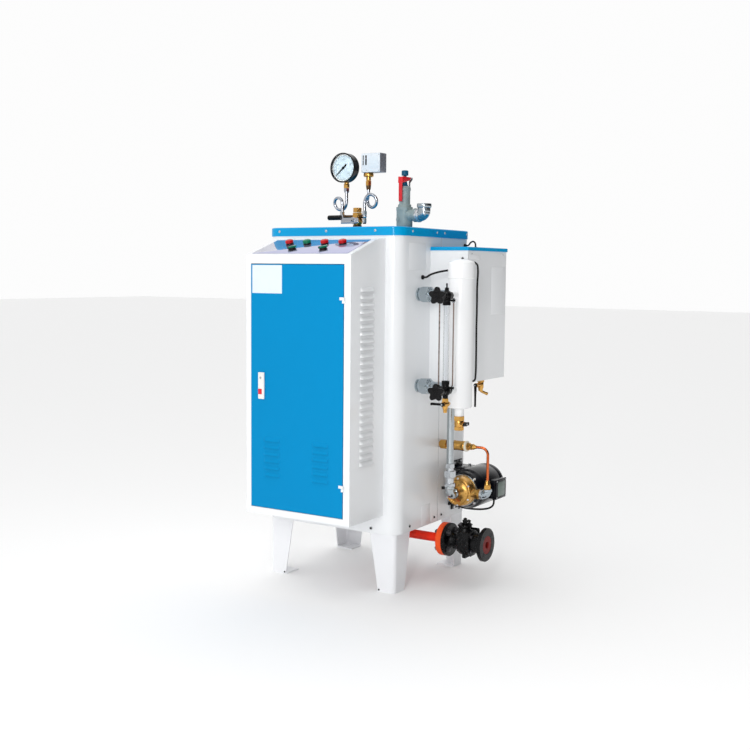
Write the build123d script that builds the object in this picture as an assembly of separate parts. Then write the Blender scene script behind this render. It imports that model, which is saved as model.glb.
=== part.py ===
from build123d import *
import math
import os

# Electric steam boiler: sheet-metal casing on four legs, switch cabinet in
# front, feed tank, level column, feed pump and drain on the right-hand side,
# steam fittings on top.  Millimetres, +Z up, X to the right seen from the
# front, Y to the rear.  Origin on the floor, midway between the four anchor
# holes of the feet.

# ---------------------------------------------------------------- dimensions
# casing
CAS_HX, CAS_HY = 285.0, 269.4        # half width, half depth
CAS_R = 50.0                         # vertical corner radius
CAS_Z0, CAS_Z1 = 213.6, 1265.0
SEAM_Y = 30.0                        # joint between front and rear casing
LID_HX, LID_HY, LID_Z1, LID_R = 288.0, 272.4, 1296.2, 53.0
BASE_T = 3.0

# legs
LEG_IN = 10.5                        # set in from the casing faces
LEG_T = 4.0
LEG_TOP, LEG_BOT = 104.0, 69.0       # flange width at top and foot
LEG_FOLD = 15.0
FOOT_T = 5.0
FOOT_X, FOOT_Y = 238.0, 222.0        # anchor hole position
FOOT_HOLE_R = 6.0

# switch cabinet
CAB_X0, CAB_X1 = -210.0, 230.0
CAB_YF = -485.4                      # front face
CAB_Z0, CAB_ZF = 280.5, 1195.7       # floor, top edge at the front
FOLD_Y, FOLD_Z = -325.0, 1249.4      # fold line of the sloped top
CAB_ZB = 1254.7                      # top where it meets the casing
SHEET = 2.0

# door
DOOR_X0, DOOR_X1 = -187.2, 202.1
DOOR_Z0, DOOR_Z1 = 305.4, 1162.2
DOOR_GAP = 2.0
DOOR_PROUD = 1.6
DOOR_DEPTH = 15.0
HINGE_X, HINGE_Y = 204.3, -491.4
HINGE_R, HINGE_PIN = 4.0, 2.0
HINGE_Z = (1043.6, 408.8)

# control panel fittings, on the sloped front facet
LAMP_X = (-104.0, -28.0, 47.0, 122.0)
LAMP_Y = -373.0
KNOB_X = (-45.0, 86.0)
KNOB_Y = -438.0

# feed tank
TK_X1, TK_Y0, TK_Y1 = 436.0, -49.0, 263.0
TK_Z0, TK_Z1 = 746.0, 1217.0
TK_T = 2.0

# level column and gauge
COL_X, COL_Y, COL_R = 453.0, -128.0, 44.5
COL_Z0, COL_Z1, CAP_Z = 668.0, 1122.0, 1186.0
GA_ZU, GA_ZL = 1061.0, 735.5         # upper and lower connection heights
GA_Y = -232.0                        # axis of the gauge glass
WHEEL_Y = -294.0                     # rear face of the star handwheels

# pump
PU_X, PU_Z, PU_Y = 366.0, 331.0, 41.0
SUC_Y = -27.5
OUT_X, OUT_Y, OUT_Z = 478.0, 54.0, 328.0
CHK_Y, CHK_Z = 42.0, 503.5

# drain
DR_Z = 158.0
FL_R = 61.0

# top fittings
SV_X = 144.6                         # safety valve
SO_X = -63.0                         # steam outlet


# ------------------------------------------------------------------- helpers
def bx(x0, x1, y0, y1, z0, z1):
    return Pos((x0 + x1) / 2, (y0 + y1) / 2, (z0 + z1) / 2) * Box(x1 - x0, y1 - y0, z1 - z0)


def rod(p, q, r):
    a, b = Vector(*p), Vector(*q)
    return extrude(Plane(origin=a, z_dir=(b - a).normalized()) * Circle(r), amount=(b - a).length)


def hexa(p, q, af):
    a, b = Vector(*p), Vector(*q)
    return extrude(Plane(origin=a, z_dir=(b - a).normalized()) * RegularPolygon(af / 2, 6, major_radius=False),
                   amount=(b - a).length)


def cone(p, q, r0, r1):
    a, b = Vector(*p), Vector(*q)
    h = (b - a).length
    return Plane(origin=a, z_dir=(b - a).normalized()) * Pos(0, 0, h / 2) * Cone(r0, r1, h)


def ball(p, r):
    return Pos(*p) * Sphere(r)


def prism_x(pts, x0, x1):
    """Polygon in the YZ plane extruded along X."""
    face = make_face(Polyline(*[(x0, y, z) for y, z in pts], close=True))
    return extrude(face, amount=x1 - x0, dir=(1, 0, 0))


def prism_y(pts, y0, y1):
    face = make_face(Polyline(*[(x, y0, z) for x, z in pts], close=True))
    return extrude(face, amount=y1 - y0, dir=(0, 1, 0))


def prism_z(pts, z0, z1):
    face = make_face(Polyline(*[(x, y, z0) for x, y in pts], close=True))
    return extrude(face, amount=z1 - z0, dir=(0, 0, 1))


def route(points, r, name):
    """Round tube along a route of straight runs joined by tangent arcs."""
    pts = [Vector(*p) for p in points]
    radii, runs = [], [(pts[i + 1] - pts[i]).length for i in range(len(pts) - 1)]
    for i in range(1, len(pts) - 1):
        turn = (pts[i] - pts[i - 1]).get_angle(pts[i + 1] - pts[i])
        radii.append(0.45 * min(runs[i - 1], runs[i]) / math.tan(math.radians(turn) / 2))
    path = FilletPolyline(*[tuple(p) for p in pts], radius=radii)
    prof = Plane(origin=pts[0], z_dir=(pts[1] - pts[0]).normalized()) * Circle(r)
    tube = sweep(prof, path=path)
    length = path.length
    print(f"{name}: length {length:.1f} radii " + " ".join(f"{v:.0f}" for v in radii) +
          f" volume ratio {tube.volume / (math.pi * r * r * length):.4f}")
    return tube


os.makedirs("parts", exist_ok=True)
parts = {}

# ------------------------------------------------------------- casing and lid
casing = Pos(0, 0, CAS_Z0) * extrude(RectangleRounded(2 * CAS_HX, 2 * CAS_HY, CAS_R), amount=CAS_Z1 - CAS_Z0)
parts["casing_front"] = casing & bx(-400, 400, -400, SEAM_Y, 0, 2000)
parts["casing_rear"] = casing & bx(-400, 400, SEAM_Y, 400, 0, 2000)
lid = Pos(0, 0, CAS_Z1) * extrude(RectangleRounded(2 * LID_HX, 2 * LID_HY, LID_R), amount=LID_Z1 - CAS_Z1)
parts["casing_lid"] = fillet(lid.edges().group_by(Axis.Z)[-1], 5.0)
parts["base_plate"] = Pos(0, 0, CAS_Z0 - BASE_T) * extrude(
    RectangleRounded(2 * CAS_HX - 6, 2 * CAS_HY - 6, CAS_R - 3), amount=BASE_T)

# ------------------------------------------------------------------------ legs
LZ = CAS_Z0 - BASE_T


def leg():
    """Front right leg: folded tapered angle with an inturned foot plate."""
    ox, oy = CAS_HX - LEG_IN, -(CAS_HY - LEG_IN)
    outer = RectangleRounded(2 * ox, -2 * oy, LEG_FOLD)
    inner = RectangleRounded(2 * (ox - LEG_T), 2 * (-oy - LEG_T), LEG_FOLD - LEG_T)
    ring = extrude(outer, amount=LZ) - extrude(inner, amount=LZ)
    front = prism_y([(ox - LEG_TOP, LZ), (ox + 1, LZ), (ox + 1, 0), (ox - LEG_BOT, 0)], oy - 1, oy + LEG_FOLD)
    side = prism_x([(oy - 1, LZ), (oy + LEG_TOP, LZ), (oy + LEG_BOT, 0), (oy - 1, 0)], ox - LEG_FOLD, ox + 1)
    body = ring & (front + side)
    foot = extrude(inner, amount=FOOT_T) & bx(ox - LEG_BOT - 6, ox, oy, oy + LEG_BOT + 6, 0, FOOT_T)
    body = body + foot
    return body - rod((FOOT_X, -FOOT_Y, -1), (FOOT_X, -FOOT_Y, FOOT_T + 1), FOOT_HOLE_R)


fr = leg()
fl = mirror(fr, about=Plane.YZ)
parts["legs"] = Compound(children=[fr, fl, mirror(fr, about=Plane.XZ), mirror(fl, about=Plane.XZ)])

# --------------------------------------------------------------------- cabinet
prof_side = [(CAB_YF, CAB_Z0), (-CAS_HY, CAB_Z0), (-CAS_HY, CAB_ZB), (FOLD_Y, FOLD_Z), (CAB_YF, CAB_ZF)]
parts["cabinet_left_side"] = prism_x(prof_side, CAB_X0, CAB_X0 + SHEET)
parts["cabinet_right_side"] = prism_x(prof_side, CAB_X1 - SHEET, CAB_X1)
parts["cabinet_floor"] = bx(CAB_X0 + SHEET, CAB_X1 - SHEET, CAB_YF + SHEET, -CAS_HY, CAB_Z0, CAB_Z0 + SHEET)
DROP = 2.1
panel = prism_x([(CAB_YF, CAB_ZF), (FOLD_Y, FOLD_Z), (-CAS_HY, CAB_ZB), (-CAS_HY, CAB_ZB - DROP),
                 (FOLD_Y, FOLD_Z - DROP), (CAB_YF, CAB_ZF - DROP)], CAB_X0 + SHEET, CAB_X1 - SHEET)
frame_plate = bx(CAB_X0 + SHEET, CAB_X1 - SHEET, CAB_YF, CAB_YF + SHEET, CAB_Z0, CAB_ZF - DROP)
frame_plate -= bx(DOOR_X0 - DOOR_GAP, DOOR_X1 + DOOR_GAP, CAB_YF - 5, CAB_YF + 9, DOOR_Z0 - DOOR_GAP, DOOR_Z1 + DOOR_GAP)
parts["cabinet_front_frame"] = frame_plate

# sloped facet frame: origin on the facet, z out of the panel
SL = math.atan2(FOLD_Z - CAB_ZF, FOLD_Y - CAB_YF)
SL_N = (0, -math.sin(SL), math.cos(SL))


def slope_z(y):
    return CAB_ZF + (y - CAB_YF) * math.tan(SL)


def on_slope(x, y):
    return Plane(origin=(x, y, slope_z(y)), x_dir=(1, 0, 0), z_dir=SL_N)


def turned(plane, r, z0, z1, r2=None):
    """Round piece standing on a plane, from z0 to z1 along its normal."""
    if r2 is None:
        return plane * Pos(0, 0, (z0 + z1) / 2) * Cylinder(r, z1 - z0)
    return plane * Pos(0, 0, (z0 + z1) / 2) * Cone(r, r2, z1 - z0)


# pilot lamps: black collar and domed lens; selector bases with their stems
lamps = []
for x in LAMP_X:
    p = on_slope(x, LAMP_Y)
    lens = turned(p, 14.5, 6, 13) + turned(p, 14.5, 13, 17, 10.5)
    lamps.append(turned(p, 14.5, 0, 6) + lens)
for x in KNOB_X:
    p = on_slope(x, KNOB_Y)
    lamps.append(turned(p, 15.0, 0, 5) + turned(p, 4.0, 5, 11))
parts["panel_fittings"] = Compound(children=lamps)
parts["control_panel"] = panel
for i, x in enumerate(KNOB_X):
    p = on_slope(x, KNOB_Y)
    k = turned(p, 12.5, 5.3, 9.5) + (p * Pos(0, 0, 11.4) * Rot(0, 0, -45) * Box(10, 32, 6.4))
    k -= turned(p, 4.05, 5, 11.3)
    parts[("selector_knob_left", "selector_knob_right")[i]] = k

# ---------------------------------------------------------------- door, hinges
yd = CAB_YF - DOOR_PROUD
door = bx(DOOR_X0, DOOR_X1, yd, yd + DOOR_DEPTH, DOOR_Z0, DOOR_Z1)
door -= bx(DOOR_X0 + SHEET, DOOR_X1 - SHEET, yd + SHEET, yd + DOOR_DEPTH + 1, DOOR_Z0 + SHEET, DOOR_Z1 - SHEET)
parts["door_panel"] = door
fixed, moving = [], []
for z in HINGE_Z:
    lo, mid, hi = z - 10, z, z + 10
    f = rod((HINGE_X, HINGE_Y, lo), (HINGE_X, HINGE_Y, mid), HINGE_R)
    f += rod((HINGE_X, HINGE_Y, mid - 1), (HINGE_X, HINGE_Y, hi - 1.5), HINGE_PIN)
    f += bx(HINGE_X + 0.6, HINGE_X + 6, HINGE_Y - 1.5, CAB_YF, lo, mid)
    f += bx(HINGE_X + 0.6, HINGE_X + 13, CAB_YF - 1.8, CAB_YF, lo, mid)
    fixed.append(f)
    m = rod((HINGE_X, HINGE_Y, mid + 0.3), (HINGE_X, HINGE_Y, hi), HINGE_R)
    m += bx(HINGE_X - 6, HINGE_X, HINGE_Y, yd, mid + 0.3, hi)
    m += bx(HINGE_X - 17, HINGE_X - 3, yd - 1.8, yd, mid + 0.3, hi)
    m -= rod((HINGE_X, HINGE_Y, mid), (HINGE_X, HINGE_Y, hi - 1.2), HINGE_PIN + 0.05)
    moving.append(m)
parts["cabinet_hinges"] = Compound(children=fixed)
parts["door_hinges"] = Compound(children=moving)
lock = bx(-152.5, -126.5, yd - 7, yd, 691, 785)
parts["door_lock"] = fillet(lock.edges().filter_by(Axis.Y), 4) + bx(-147, -132, yd - 10, yd - 7, 722, 744)

# -------------------------------------------------------------------- feed tank
parts["tank_walls"] = bx(CAS_HX, TK_X1, TK_Y0, TK_Y1, TK_Z0, TK_Z1) - bx(
    CAS_HX + TK_T, TK_X1 - TK_T, TK_Y0 + TK_T, TK_Y1 - TK_T, TK_Z0 - 1, TK_Z1 + 1)
parts["tank_floor"] = bx(CAS_HX + TK_T, TK_X1 - TK_T, TK_Y0 + TK_T, TK_Y1 - TK_T, TK_Z0, TK_Z0 + TK_T)
parts["tank_cover"] = fillet(bx(CAS_HX, TK_X1 + 2.5, TK_Y0 - 2.5, TK_Y1 + 5, TK_Z1, TK_Z1 + 13).edges()
                             .group_by(Axis.Z)[-1], 2.5)

# ---------------------------------------------------------------- level column
c0 = (COL_X, COL_Y)
parts["level_column"] = fillet(rod((*c0, COL_Z0), (*c0, COL_Z1), COL_R).edges().group_by(Axis.Z)[0], 6)
cap = rod((*c0, COL_Z1), (*c0, 1170), COL_R + 2.0)
dome = Pos(COL_X, COL_Y, 1170) * scale(Sphere(COL_R + 2.0), by=(1, 1, (CAP_Z - 1170) / (COL_R + 2.0)))
dome = dome & bx(300, 600, -300, 100, 1170, 1300)
parts["column_cap"] = cap + dome


def column_union(z):
    y = COL_Y - 2
    u = rod((CAS_HX, y, z), (CAS_HX + 11, y, z), 23)
    u += cone((CAS_HX + 11, y, z), (CAS_HX + 22, y, z), 21, 27)
    u += hexa((CAS_HX + 22, y, z), (CAS_HX + 50, y, z), 55)
    u += rod((CAS_HX + 50, y, z), (COL_X - 20, y, z), 17)
    return u


col_clear = rod((*c0, COL_Z0 - 5), (*c0, COL_Z1), COL_R)
parts["column_unions"] = Compound(children=[column_union(GA_ZU) - col_clear, column_union(GA_ZL) - col_clear])

# nipple and ball valve under the column
v = rod((*c0, 636), (*c0, COL_Z0), 15)
v += hexa((*c0, 624), (*c0, 638), 35) + rod((*c0, 600), (*c0, 624), 16) + hexa((*c0, 588), (*c0, 600), 33)
v += rod((COL_X, COL_Y, 611), (COL_X + 22, COL_Y, 611), 8) + rod((COL_X + 22, COL_Y, 611), (COL_X + 32, COL_Y, 611), 3)
v -= rod((*c0, 580), (*c0, 606), 8)
parts["column_drain_valve"] = v
lev = rod((COL_X + 22.3, COL_Y, 611), (COL_X + 30, COL_Y, 611), 7.5)
lev += bx(COL_X + 24.5, COL_X + 30, COL_Y - 20, COL_Y + 20, 605.5, 616.5)
lev -= rod((COL_X + 20, COL_Y, 611), (COL_X + 34, COL_Y, 611), 3.05)
parts["column_drain_lever"] = lev


# --------------------------------------------------------------- gauge valves
def gauge_valve(z, s):
    """Bronze-bodied gauge valve on the front of the column; s=+1 upper, -1 lower."""
    x = COL_X
    b = rod((x, COL_Y - COL_R + 6, z), (x, GA_Y + 30, z), 13)
    b += rod((x, GA_Y + 30, z), (x, GA_Y, z), 12)
    b += ball((x, GA_Y, z), 18)
    b += rod((x, GA_Y, z), (x, -262, z), 14)
    b += hexa((x, -262, z), (x, -278, z), 26)
    b += rod((x, -278, z), (x, -293.5, z), 8)
    b += rod((x, -293.5, z), (x, -309, z), 4)
    if s > 0:      # glass gland hangs down from the upper valve, plug on top
        b += rod((x, GA_Y, z - 24), (x, GA_Y, z), 12.5)
        b += hexa((x, GA_Y, z - 33), (x, GA_Y, z - 22), 27)
        b += rod((x, GA_Y, z), (x, GA_Y, z + 22), 8) + hexa((x, GA_Y, z + 20), (x, GA_Y, z + 27), 14)
        b += rod((x, GA_Y, z + 27), (x, GA_Y, z + 42), 3.2)
    else:
        b += rod((x, GA_Y, z), (x, GA_Y, z + 24), 12.5)
        b += hexa((x, GA_Y, z + 22), (x, GA_Y, z + 35), 27)
        b += rod((x, GA_Y, z - 26), (x, GA_Y, z), 10)
    # ears for the guard rods
    ze = z - 20 if s > 0 else z + 8
    b += bx(x - 33, x + 33, GA_Y - 6, GA_Y + 6, ze, ze + 8)
    b -= rod((*c0, COL_Z0 - 5), (*c0, COL_Z1), COL_R)
    if s > 0:
        b -= rod((x, GA_Y, z - 60), (x, GA_Y, z - 20), 10.0)
    else:
        b -= rod((x, GA_Y, z + 18), (x, GA_Y, z + 50), 10.0)
    return b


gv_u, gv_l = gauge_valve(GA_ZU, 1), gauge_valve(GA_ZL, -1)
parts["gauge_glass"] = rod((COL_X, GA_Y, GA_ZL + 18), (COL_X, GA_Y, GA_ZU - 20), 10.0) - rod(
    (COL_X, GA_Y, GA_ZL), (COL_X, GA_Y, GA_ZU), 7.5)
rods = [rod((COL_X + s * 27, GA_Y, GA_ZL + 16), (COL_X + s * 27, GA_Y, GA_ZU - 20), 2.5) for s in (-1, 1)]
parts["gauge_guard_rods"] = Compound(children=rods)

# drain cock under the lower valve
x = COL_X
zc = GA_ZL - 26
cock = hexa((x, GA_Y, zc - 12), (x, GA_Y, zc), 20) + rod((x, GA_Y, zc - 34), (x, GA_Y, zc - 12), 8.5)
cock += rod((x, GA_Y, 661), (x, GA_Y, zc - 34), 6)
cock += rod((x, GA_Y - 15, 690), (x, GA_Y, 690), 8.5) + cone((x, GA_Y, 690), (x, GA_Y + 26, 690), 10, 6)
cock += rod((x, GA_Y - 26, 690), (x, GA_Y - 15, 690), 3)
gv_l = gv_l + cock
gv_l -= rod((x, GA_Y, 655), (x, GA_Y, 676), 3.5)
parts["gauge_valves"] = Compound(children=[gv_u, gv_l])
dl = rod((x, GA_Y - 22, 690), (x, GA_Y - 15.3, 690), 7)
dl += bx(x - 40, x, GA_Y - 20.3, GA_Y - 15.3, 685.5, 694.5)
dl += bx(x - 44, x - 38, GA_Y - 26, GA_Y - 15.3, 685.5, 694.5)
dl -= rod((x, GA_Y - 30, 690), (x, GA_Y - 14, 690), 3.05)
parts["gauge_drain_lever"] = dl


def star(z):
    """Five-lobed handwheel facing the front."""
    w = rod((COL_X, WHEEL_Y, z), (COL_X, WHEEL_Y - 12, z), 20)
    for i in range(5):
        a = math.radians(90 + 72 * i)
        cx, cz = COL_X + 21 * math.cos(a), z + 21 * math.sin(a)
        w += rod((cx, WHEEL_Y, cz), (cx, WHEEL_Y - 12, cz), 10)
    w -= rod((COL_X, WHEEL_Y + 1, z), (COL_X, WHEEL_Y - 20, z), 4.05)
    return w


parts["gauge_handwheel_upper"] = star(GA_ZU)
parts["gauge_handwheel_lower"] = star(GA_ZL)

# ----------------------------------------------------------------- suction pipe
s = rod((PU_X, SUC_Y, 350), (PU_X, SUC_Y, TK_Z0), 11.5)
s += hexa((PU_X, SUC_Y, 430), (PU_X, SUC_Y, 447), 30) + rod((PU_X, SUC_Y, 420), (PU_X, SUC_Y, 430), 13)
s += hexa((PU_X, SUC_Y, 396), (PU_X, SUC_Y, 420), 40) + rod((PU_X, SUC_Y, 372), (PU_X, SUC_Y, 396), 15)
s += hexa((PU_X, SUC_Y, 364), (PU_X, SUC_Y, 374), 36)
s += rod((PU_X, SUC_Y, PU_Z), (PU_X, SUC_Y, 366), 17) + ball((PU_X, SUC_Y, PU_Z), 17)
s += rod((PU_X, SUC_Y, PU_Z), (PU_X, 3, PU_Z), 17) + rod((PU_X, 3, PU_Z), (PU_X, 10, PU_Z), 19)
s += hexa((PU_X, SUC_Y, 732), (PU_X, SUC_Y, TK_Z0), 32)
parts["suction_pipe"] = s

# -------------------------------------------------------------- pump and motor
h = rod((PU_X, 10, PU_Z), (PU_X, 22, PU_Z), 17) + cone((PU_X, 20, PU_Z), (PU_X, PU_Y, PU_Z), 19, 40)
h += cone((PU_X, PU_Y - 4, PU_Z), (PU_X, PU_Y + 4, PU_Z), 49, 54) + rod((PU_X, PU_Y + 4, PU_Z), (PU_X, 70.5, PU_Z), 54)
h += rod((PU_X, OUT_Y, OUT_Z), (452, OUT_Y, OUT_Z), 16) + hexa((430, OUT_Y, OUT_Z), (446, OUT_Y, OUT_Z), 34)
parts["pump_head"] = h
m = rod((PU_X, 70.5, PU_Z), (PU_X, 84, PU_Z), 60) + rod((PU_X, 84, PU_Z), (PU_X, 108, PU_Z), 66)
m += rod((PU_X, 108, PU_Z), (PU_X, 262, PU_Z), 75)
m += cone((PU_X, 262, PU_Z), (PU_X, 288, PU_Z), 75, 66)
for z0, z1 in ((398, 404), (258, 264)):
    m += bx(CAS_HX, PU_X, 132, 214, z0, z1)
m += bx(CAS_HX, CAS_HX + 5, 132, 214, 398, 424) + bx(CAS_HX, CAS_HX + 5, 132, 214, 238, 264)
parts["pump_motor"] = m
tb = bx(PU_X + 40, 461, 168, 250, 290, 362) - rod((PU_X, 60, PU_Z), (PU_X, 300, PU_Z), 75)
parts["motor_terminal_box"] = tb

# ------------------------------------------------------- delivery: elbow, copper
e = rod((452, OUT_Y, OUT_Z), (OUT_X, OUT_Y, OUT_Z), 15) + ball((OUT_X, OUT_Y, OUT_Z), 16)
e += rod((452, OUT_Y, OUT_Z), (460, OUT_Y, OUT_Z), 18)
e += rod((OUT_X, OUT_Y, OUT_Z), (OUT_X, OUT_Y, 350), 16) + rod((OUT_X, OUT_Y, 342), (OUT_X, OUT_Y, 350), 19)
parts["delivery_elbow"] = e
cz = hexa((OUT_X, OUT_Y, 350), (OUT_X, OUT_Y, 364), 22) + cone((OUT_X, OUT_Y, 364), (OUT_X, OUT_Y, 382), 10, 6)
cu_path = FilletPolyline((437, CHK_Y, CHK_Z), (OUT_X, OUT_Y, CHK_Z - 1), (OUT_X, OUT_Y, 381), radius=27)
cu_start = Vector(OUT_X - 437, OUT_Y - CHK_Y, -1).normalized()
cu = sweep(Plane(origin=(437, CHK_Y, CHK_Z), z_dir=cu_start) * Circle(5.0), path=cu_path)
parts["copper_pipe"] = cu + cz
k = hexa((CAS_HX, CHK_Y, CHK_Z), (CAS_HX + 33, CHK_Y, CHK_Z), 36)
k += rod((CAS_HX + 33, CHK_Y, CHK_Z), (337, CHK_Y, CHK_Z), 12) + rod((337, CHK_Y, CHK_Z), (395, CHK_Y, CHK_Z), 18)
k += rod((395, CHK_Y, CHK_Z), (400, CHK_Y, CHK_Z), 19) + hexa((400, CHK_Y, CHK_Z), (414, CHK_Y, CHK_Z), 24)
k += rod((414, CHK_Y, CHK_Z), (420, CHK_Y, CHK_Z), 9) + hexa((420, CHK_Y, CHK_Z), (437, CHK_Y, CHK_Z), 20)
parts["check_valve"] = k

# ----------------------------------------------------------------------- drain
dp = FilletPolyline((60, 0, CAS_Z0 - BASE_T), (60, 0, DR_Z), (327, 0, DR_Z), radius=40)
d = sweep(Plane(origin=(60, 0, CAS_Z0 - BASE_T), z_dir=(0, 0, -1)) * Circle(16.85), path=dp)
d += rod((326, 0, DR_Z), (348, 0, DR_Z), FL_R)
for i in range(4):
    a = math.radians(45 + 90 * i)
    cy, czz = 43.5 * math.cos(a), DR_Z + 43.5 * math.sin(a)
    d += hexa((317, cy, czz), (326, cy, czz), 19)
parts["drain_pipe"] = d
w = rod((348, 0, DR_Z), (362, 0, DR_Z), FL_R) + rod((494, 0, DR_Z), (509, 0, DR_Z), FL_R)
w += rod((362, 0, DR_Z), (408, 0, DR_Z), 24) + rod((408, 0, DR_Z), (455, 0, DR_Z), 47) + rod((455, 0, DR_Z), (494, 0, DR_Z), 34)
w += bx(425, 439, -36, 36, DR_Z - 53, DR_Z + 40)
w += rod((418, 0, DR_Z), (418, 0, 214), 20) + rod((418, 0, 214), (418, 0, 224), 24) + rod((418, 0, 224), (418, 0, 246), 8)
w += bx(410, 436, -9, 9, 232, 240)
for i in range(4):
    a = math.radians(45 + 90 * i)
    cy, czz = 43.5 * math.cos(a), DR_Z + 43.5 * math.sin(a)
    w += hexa((362, cy, czz), (371, cy, czz), 19)
    w -= rod((490, cy, czz), (512, cy, czz), 7)
w -= rod((425, 0, DR_Z), (515, 0, DR_Z), 12.5)
parts["drain_valve"] = w

# --------------------------------------------------------------- steam outlet
x = SO_X
a = hexa((x, 0, LID_Z1), (x, 0, 1313), 36) + rod((x, 0, 1313), (x, 0, 1316), 14)
a += hexa((x, 0, 1316), (x, 0, 1324), 30) + rod((x, 0, 1324), (x, 0, 1338), 17) + rod((x, 0, 1336), (x, 0, 1360), 15)
a += rod((x, 0, 1356), (x, 0, 1366), 13) + hexa((x, 0, 1364), (x, 0, 1379), 33)
a += rod((x, -28, 1330), (x, 0, 1330), 9) + rod((x, -38, 1330), (x, -28, 1330), 4)
a += rod((x, 0, 1346), (-126, -9, 1346), 7) + ball((-126, -9, 1346), 8.5)
a += hexa((-126, -9, 1346), (-126, -9, 1366), 17)
a += rod((x, 0, 1346), (-25, -9, 1346), 7) + ball((-25, -9, 1346), 8.5) + hexa((-25, -9, 1346), (-25, -9, 1366), 17)
a += rod((-25, -9, 1318), (-25, -9, 1346), 7.5)
a -= rod((x, 0, 1352), (x, 0, 1385), 10.5)
parts["steam_valve"] = a
g = rod((x, -35, 1330), (x, -28.3, 1330), 13)
g += prism_y([(-117, 1318.5), (x + 20, 1319), (x + 25, 1324), (x + 25, 1336), (x + 20, 1340.5), (-106, 1340.5),
              (-108, 1351), (-117, 1351)], -33, -29)
g += rod((-175, -31, 1342), (-114, -31, 1342), 9.5)
g -= rod((x, -44, 1330), (x, -20, 1330), 4.05)
parts["steam_valve_lever"] = g

# -------------------------------------------------------------------- siphons
left = [(-115, 3, 1438), (-115, 3, 1390), (-134, 8, 1372), (-159, 6, 1376), (-171, 2, 1396), (-163, -2, 1415),
        (-145, -5, 1420), (-129, -8, 1410), (-126, -9, 1392), (-126, -9, 1366)]
right = [(-18, 6, 1446), (-18, 6, 1424), (-25, 9, 1402), (-16, 8, 1385), (2, 6, 1378), (18, 4, 1388), (23, 1, 1406),
         (14, -3, 1423), (-3, -6, 1429), (-18, -8, 1420), (-26, -9, 1400), (-25, -9, 1366)]
parts["siphon_pipes"] = Compound(children=[route(left, 6.0, "left siphon"), route(right, 6.0, "right siphon")])

# --------------------------------------------------- pressure gauge, controller
gx, gy, gz = -115.0, 3.0, 1529.4
q = rod((gx, gy - 32, gz), (gx, gy + 3, gz), 56)
q -= rod((gx, gy - 33, gz), (gx, gy - 23, gz), 51)
q += cone((gx, gy + 3, gz), (gx, gy + 8, gz), 56, 49)
q += bx(gx - 8, gx + 8, gy - 8, gy + 8, 1454, 1480) + hexa((gx, gy, 1438), (gx, gy, 1455), 20)
parts["pressure_gauge"] = q
bxx = -18.0
p = fillet(bx(-38.5, 44.5, -15, 32, 1508.6, 1580).edges().filter_by(Axis.Z), 2)
p += rod((bxx, 6, 1494), (bxx, 6, 1509), 18) + rod((bxx, 6, 1484), (bxx, 6, 1494), 9)
p += hexa((bxx, 6, 1458), (bxx, 6, 1484), 22) + cone((bxx, 6, 1446), (bxx, 6, 1458), 7.5, 10)
parts["pressure_controller"] = p

# ---------------------------------------------------------------- safety valve
x = SV_X
b = rod((x, 0, LID_Z1), (x, 0, 1303), 26) + rod((x, 0, 1301), (x, 0, 1378), 30.5)
b += cone((x, 0, 1378), (x, 0, 1382), 30.5, 27) + rod((x, 0, 1380), (x, 0, 1453), 21.5)
b += rod((x + 20, 0, 1347), (x + 52, 0, 1347), 27)
b += rod((x, 0, 1453), (x, 0, 1466), 9)
for sgn in (-1, 1):   # ears that carry the lever's pin
    b += bx(x + sgn * 12 - 2, x + sgn * 12 + 2, 14, 36, 1440, 1488)
b += rod((x - 16, 30, 1482), (x + 16, 30, 1482), 2.5)
parts["safety_valve"] = b
parts["safety_valve_spindle"] = rod((x, 0, 1466.3), (x, 0, 1493), 6) + rod((x, 0, 1492), (x, 0, 1511), 12.5)
lv = bx(x - 7, x + 7, -33, -28, 1397, 1486)
fork = bx(x - 9.5, x + 9.5, -33, 33.5, 1477, 1486) - bx(x - 6.5, x + 6.5, -28, 22, 1470, 1490)
lv += fork
lv -= rod((x - 20, 30, 1482), (x + 20, 30, 1482), 2.55)
lv = lv - (bx(x - 11, x + 11, 26, 40, 1470, 1478) - bx(x - 11, x + 11, 26, 34, 1477, 1478))
parts["safety_valve_lever"] = lv

# elbow on the safety valve outlet, opening upwards
el = rod((x + 52, 0, 1347), (x + 60, 0, 1347), 24)
el += rod((x + 58, 0, 1347), (228, 0, 1347), 20) + ball((228, 0, 1347), 22)
el += rod((228, 0, 1347), (228, 0, 1376), 22) + rod((228, 0, 1374), (228, 0, 1388), 27)
el -= rod((228, 0, 1350), (228, 0, 1390), 16.6)
parts["relief_elbow"] = el

# -------------------------------------------------------------------- tank tap
tx, ty = 400.0, 140.0
t = hexa((tx, ty, 736), (tx, ty, TK_Z0), 24) + rod((tx, ty, 702), (tx, ty, 736), 10)
t += rod((tx, ty, 702), (tx + 9, ty + 24, 690), 6.5) + ball((tx, ty, 702), 9)
t += rod((tx, ty - 40, 724), (tx, ty, 724), 7.5) + rod((tx, ty - 50, 724), (tx, ty - 40, 724), 3)
t -= rod((tx + 3, ty + 8, 698), (tx + 12, ty + 32, 686), 4.5)
parts["tank_tap"] = t
tl = rod((tx, ty - 46.5, 724), (tx, ty - 40.3, 724), 8)
tl += bx(tx - 4, tx + 4, ty - 45.5, ty - 41, 642, 724)
tl -= rod((tx, ty - 60, 724), (tx, ty - 39, 724), 3.05)
parts["tank_tap_lever"] = tl

# ------------------------------------------------------------- glands and leads
gland_out = Vector(-43.5, 22, 0).normalized()        # outward at the electrode gland on the column cap


def off_column(r, z):
    v = gland_out * r
    return (COL_X + v.X, COL_Y + v.Y, z)


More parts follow.
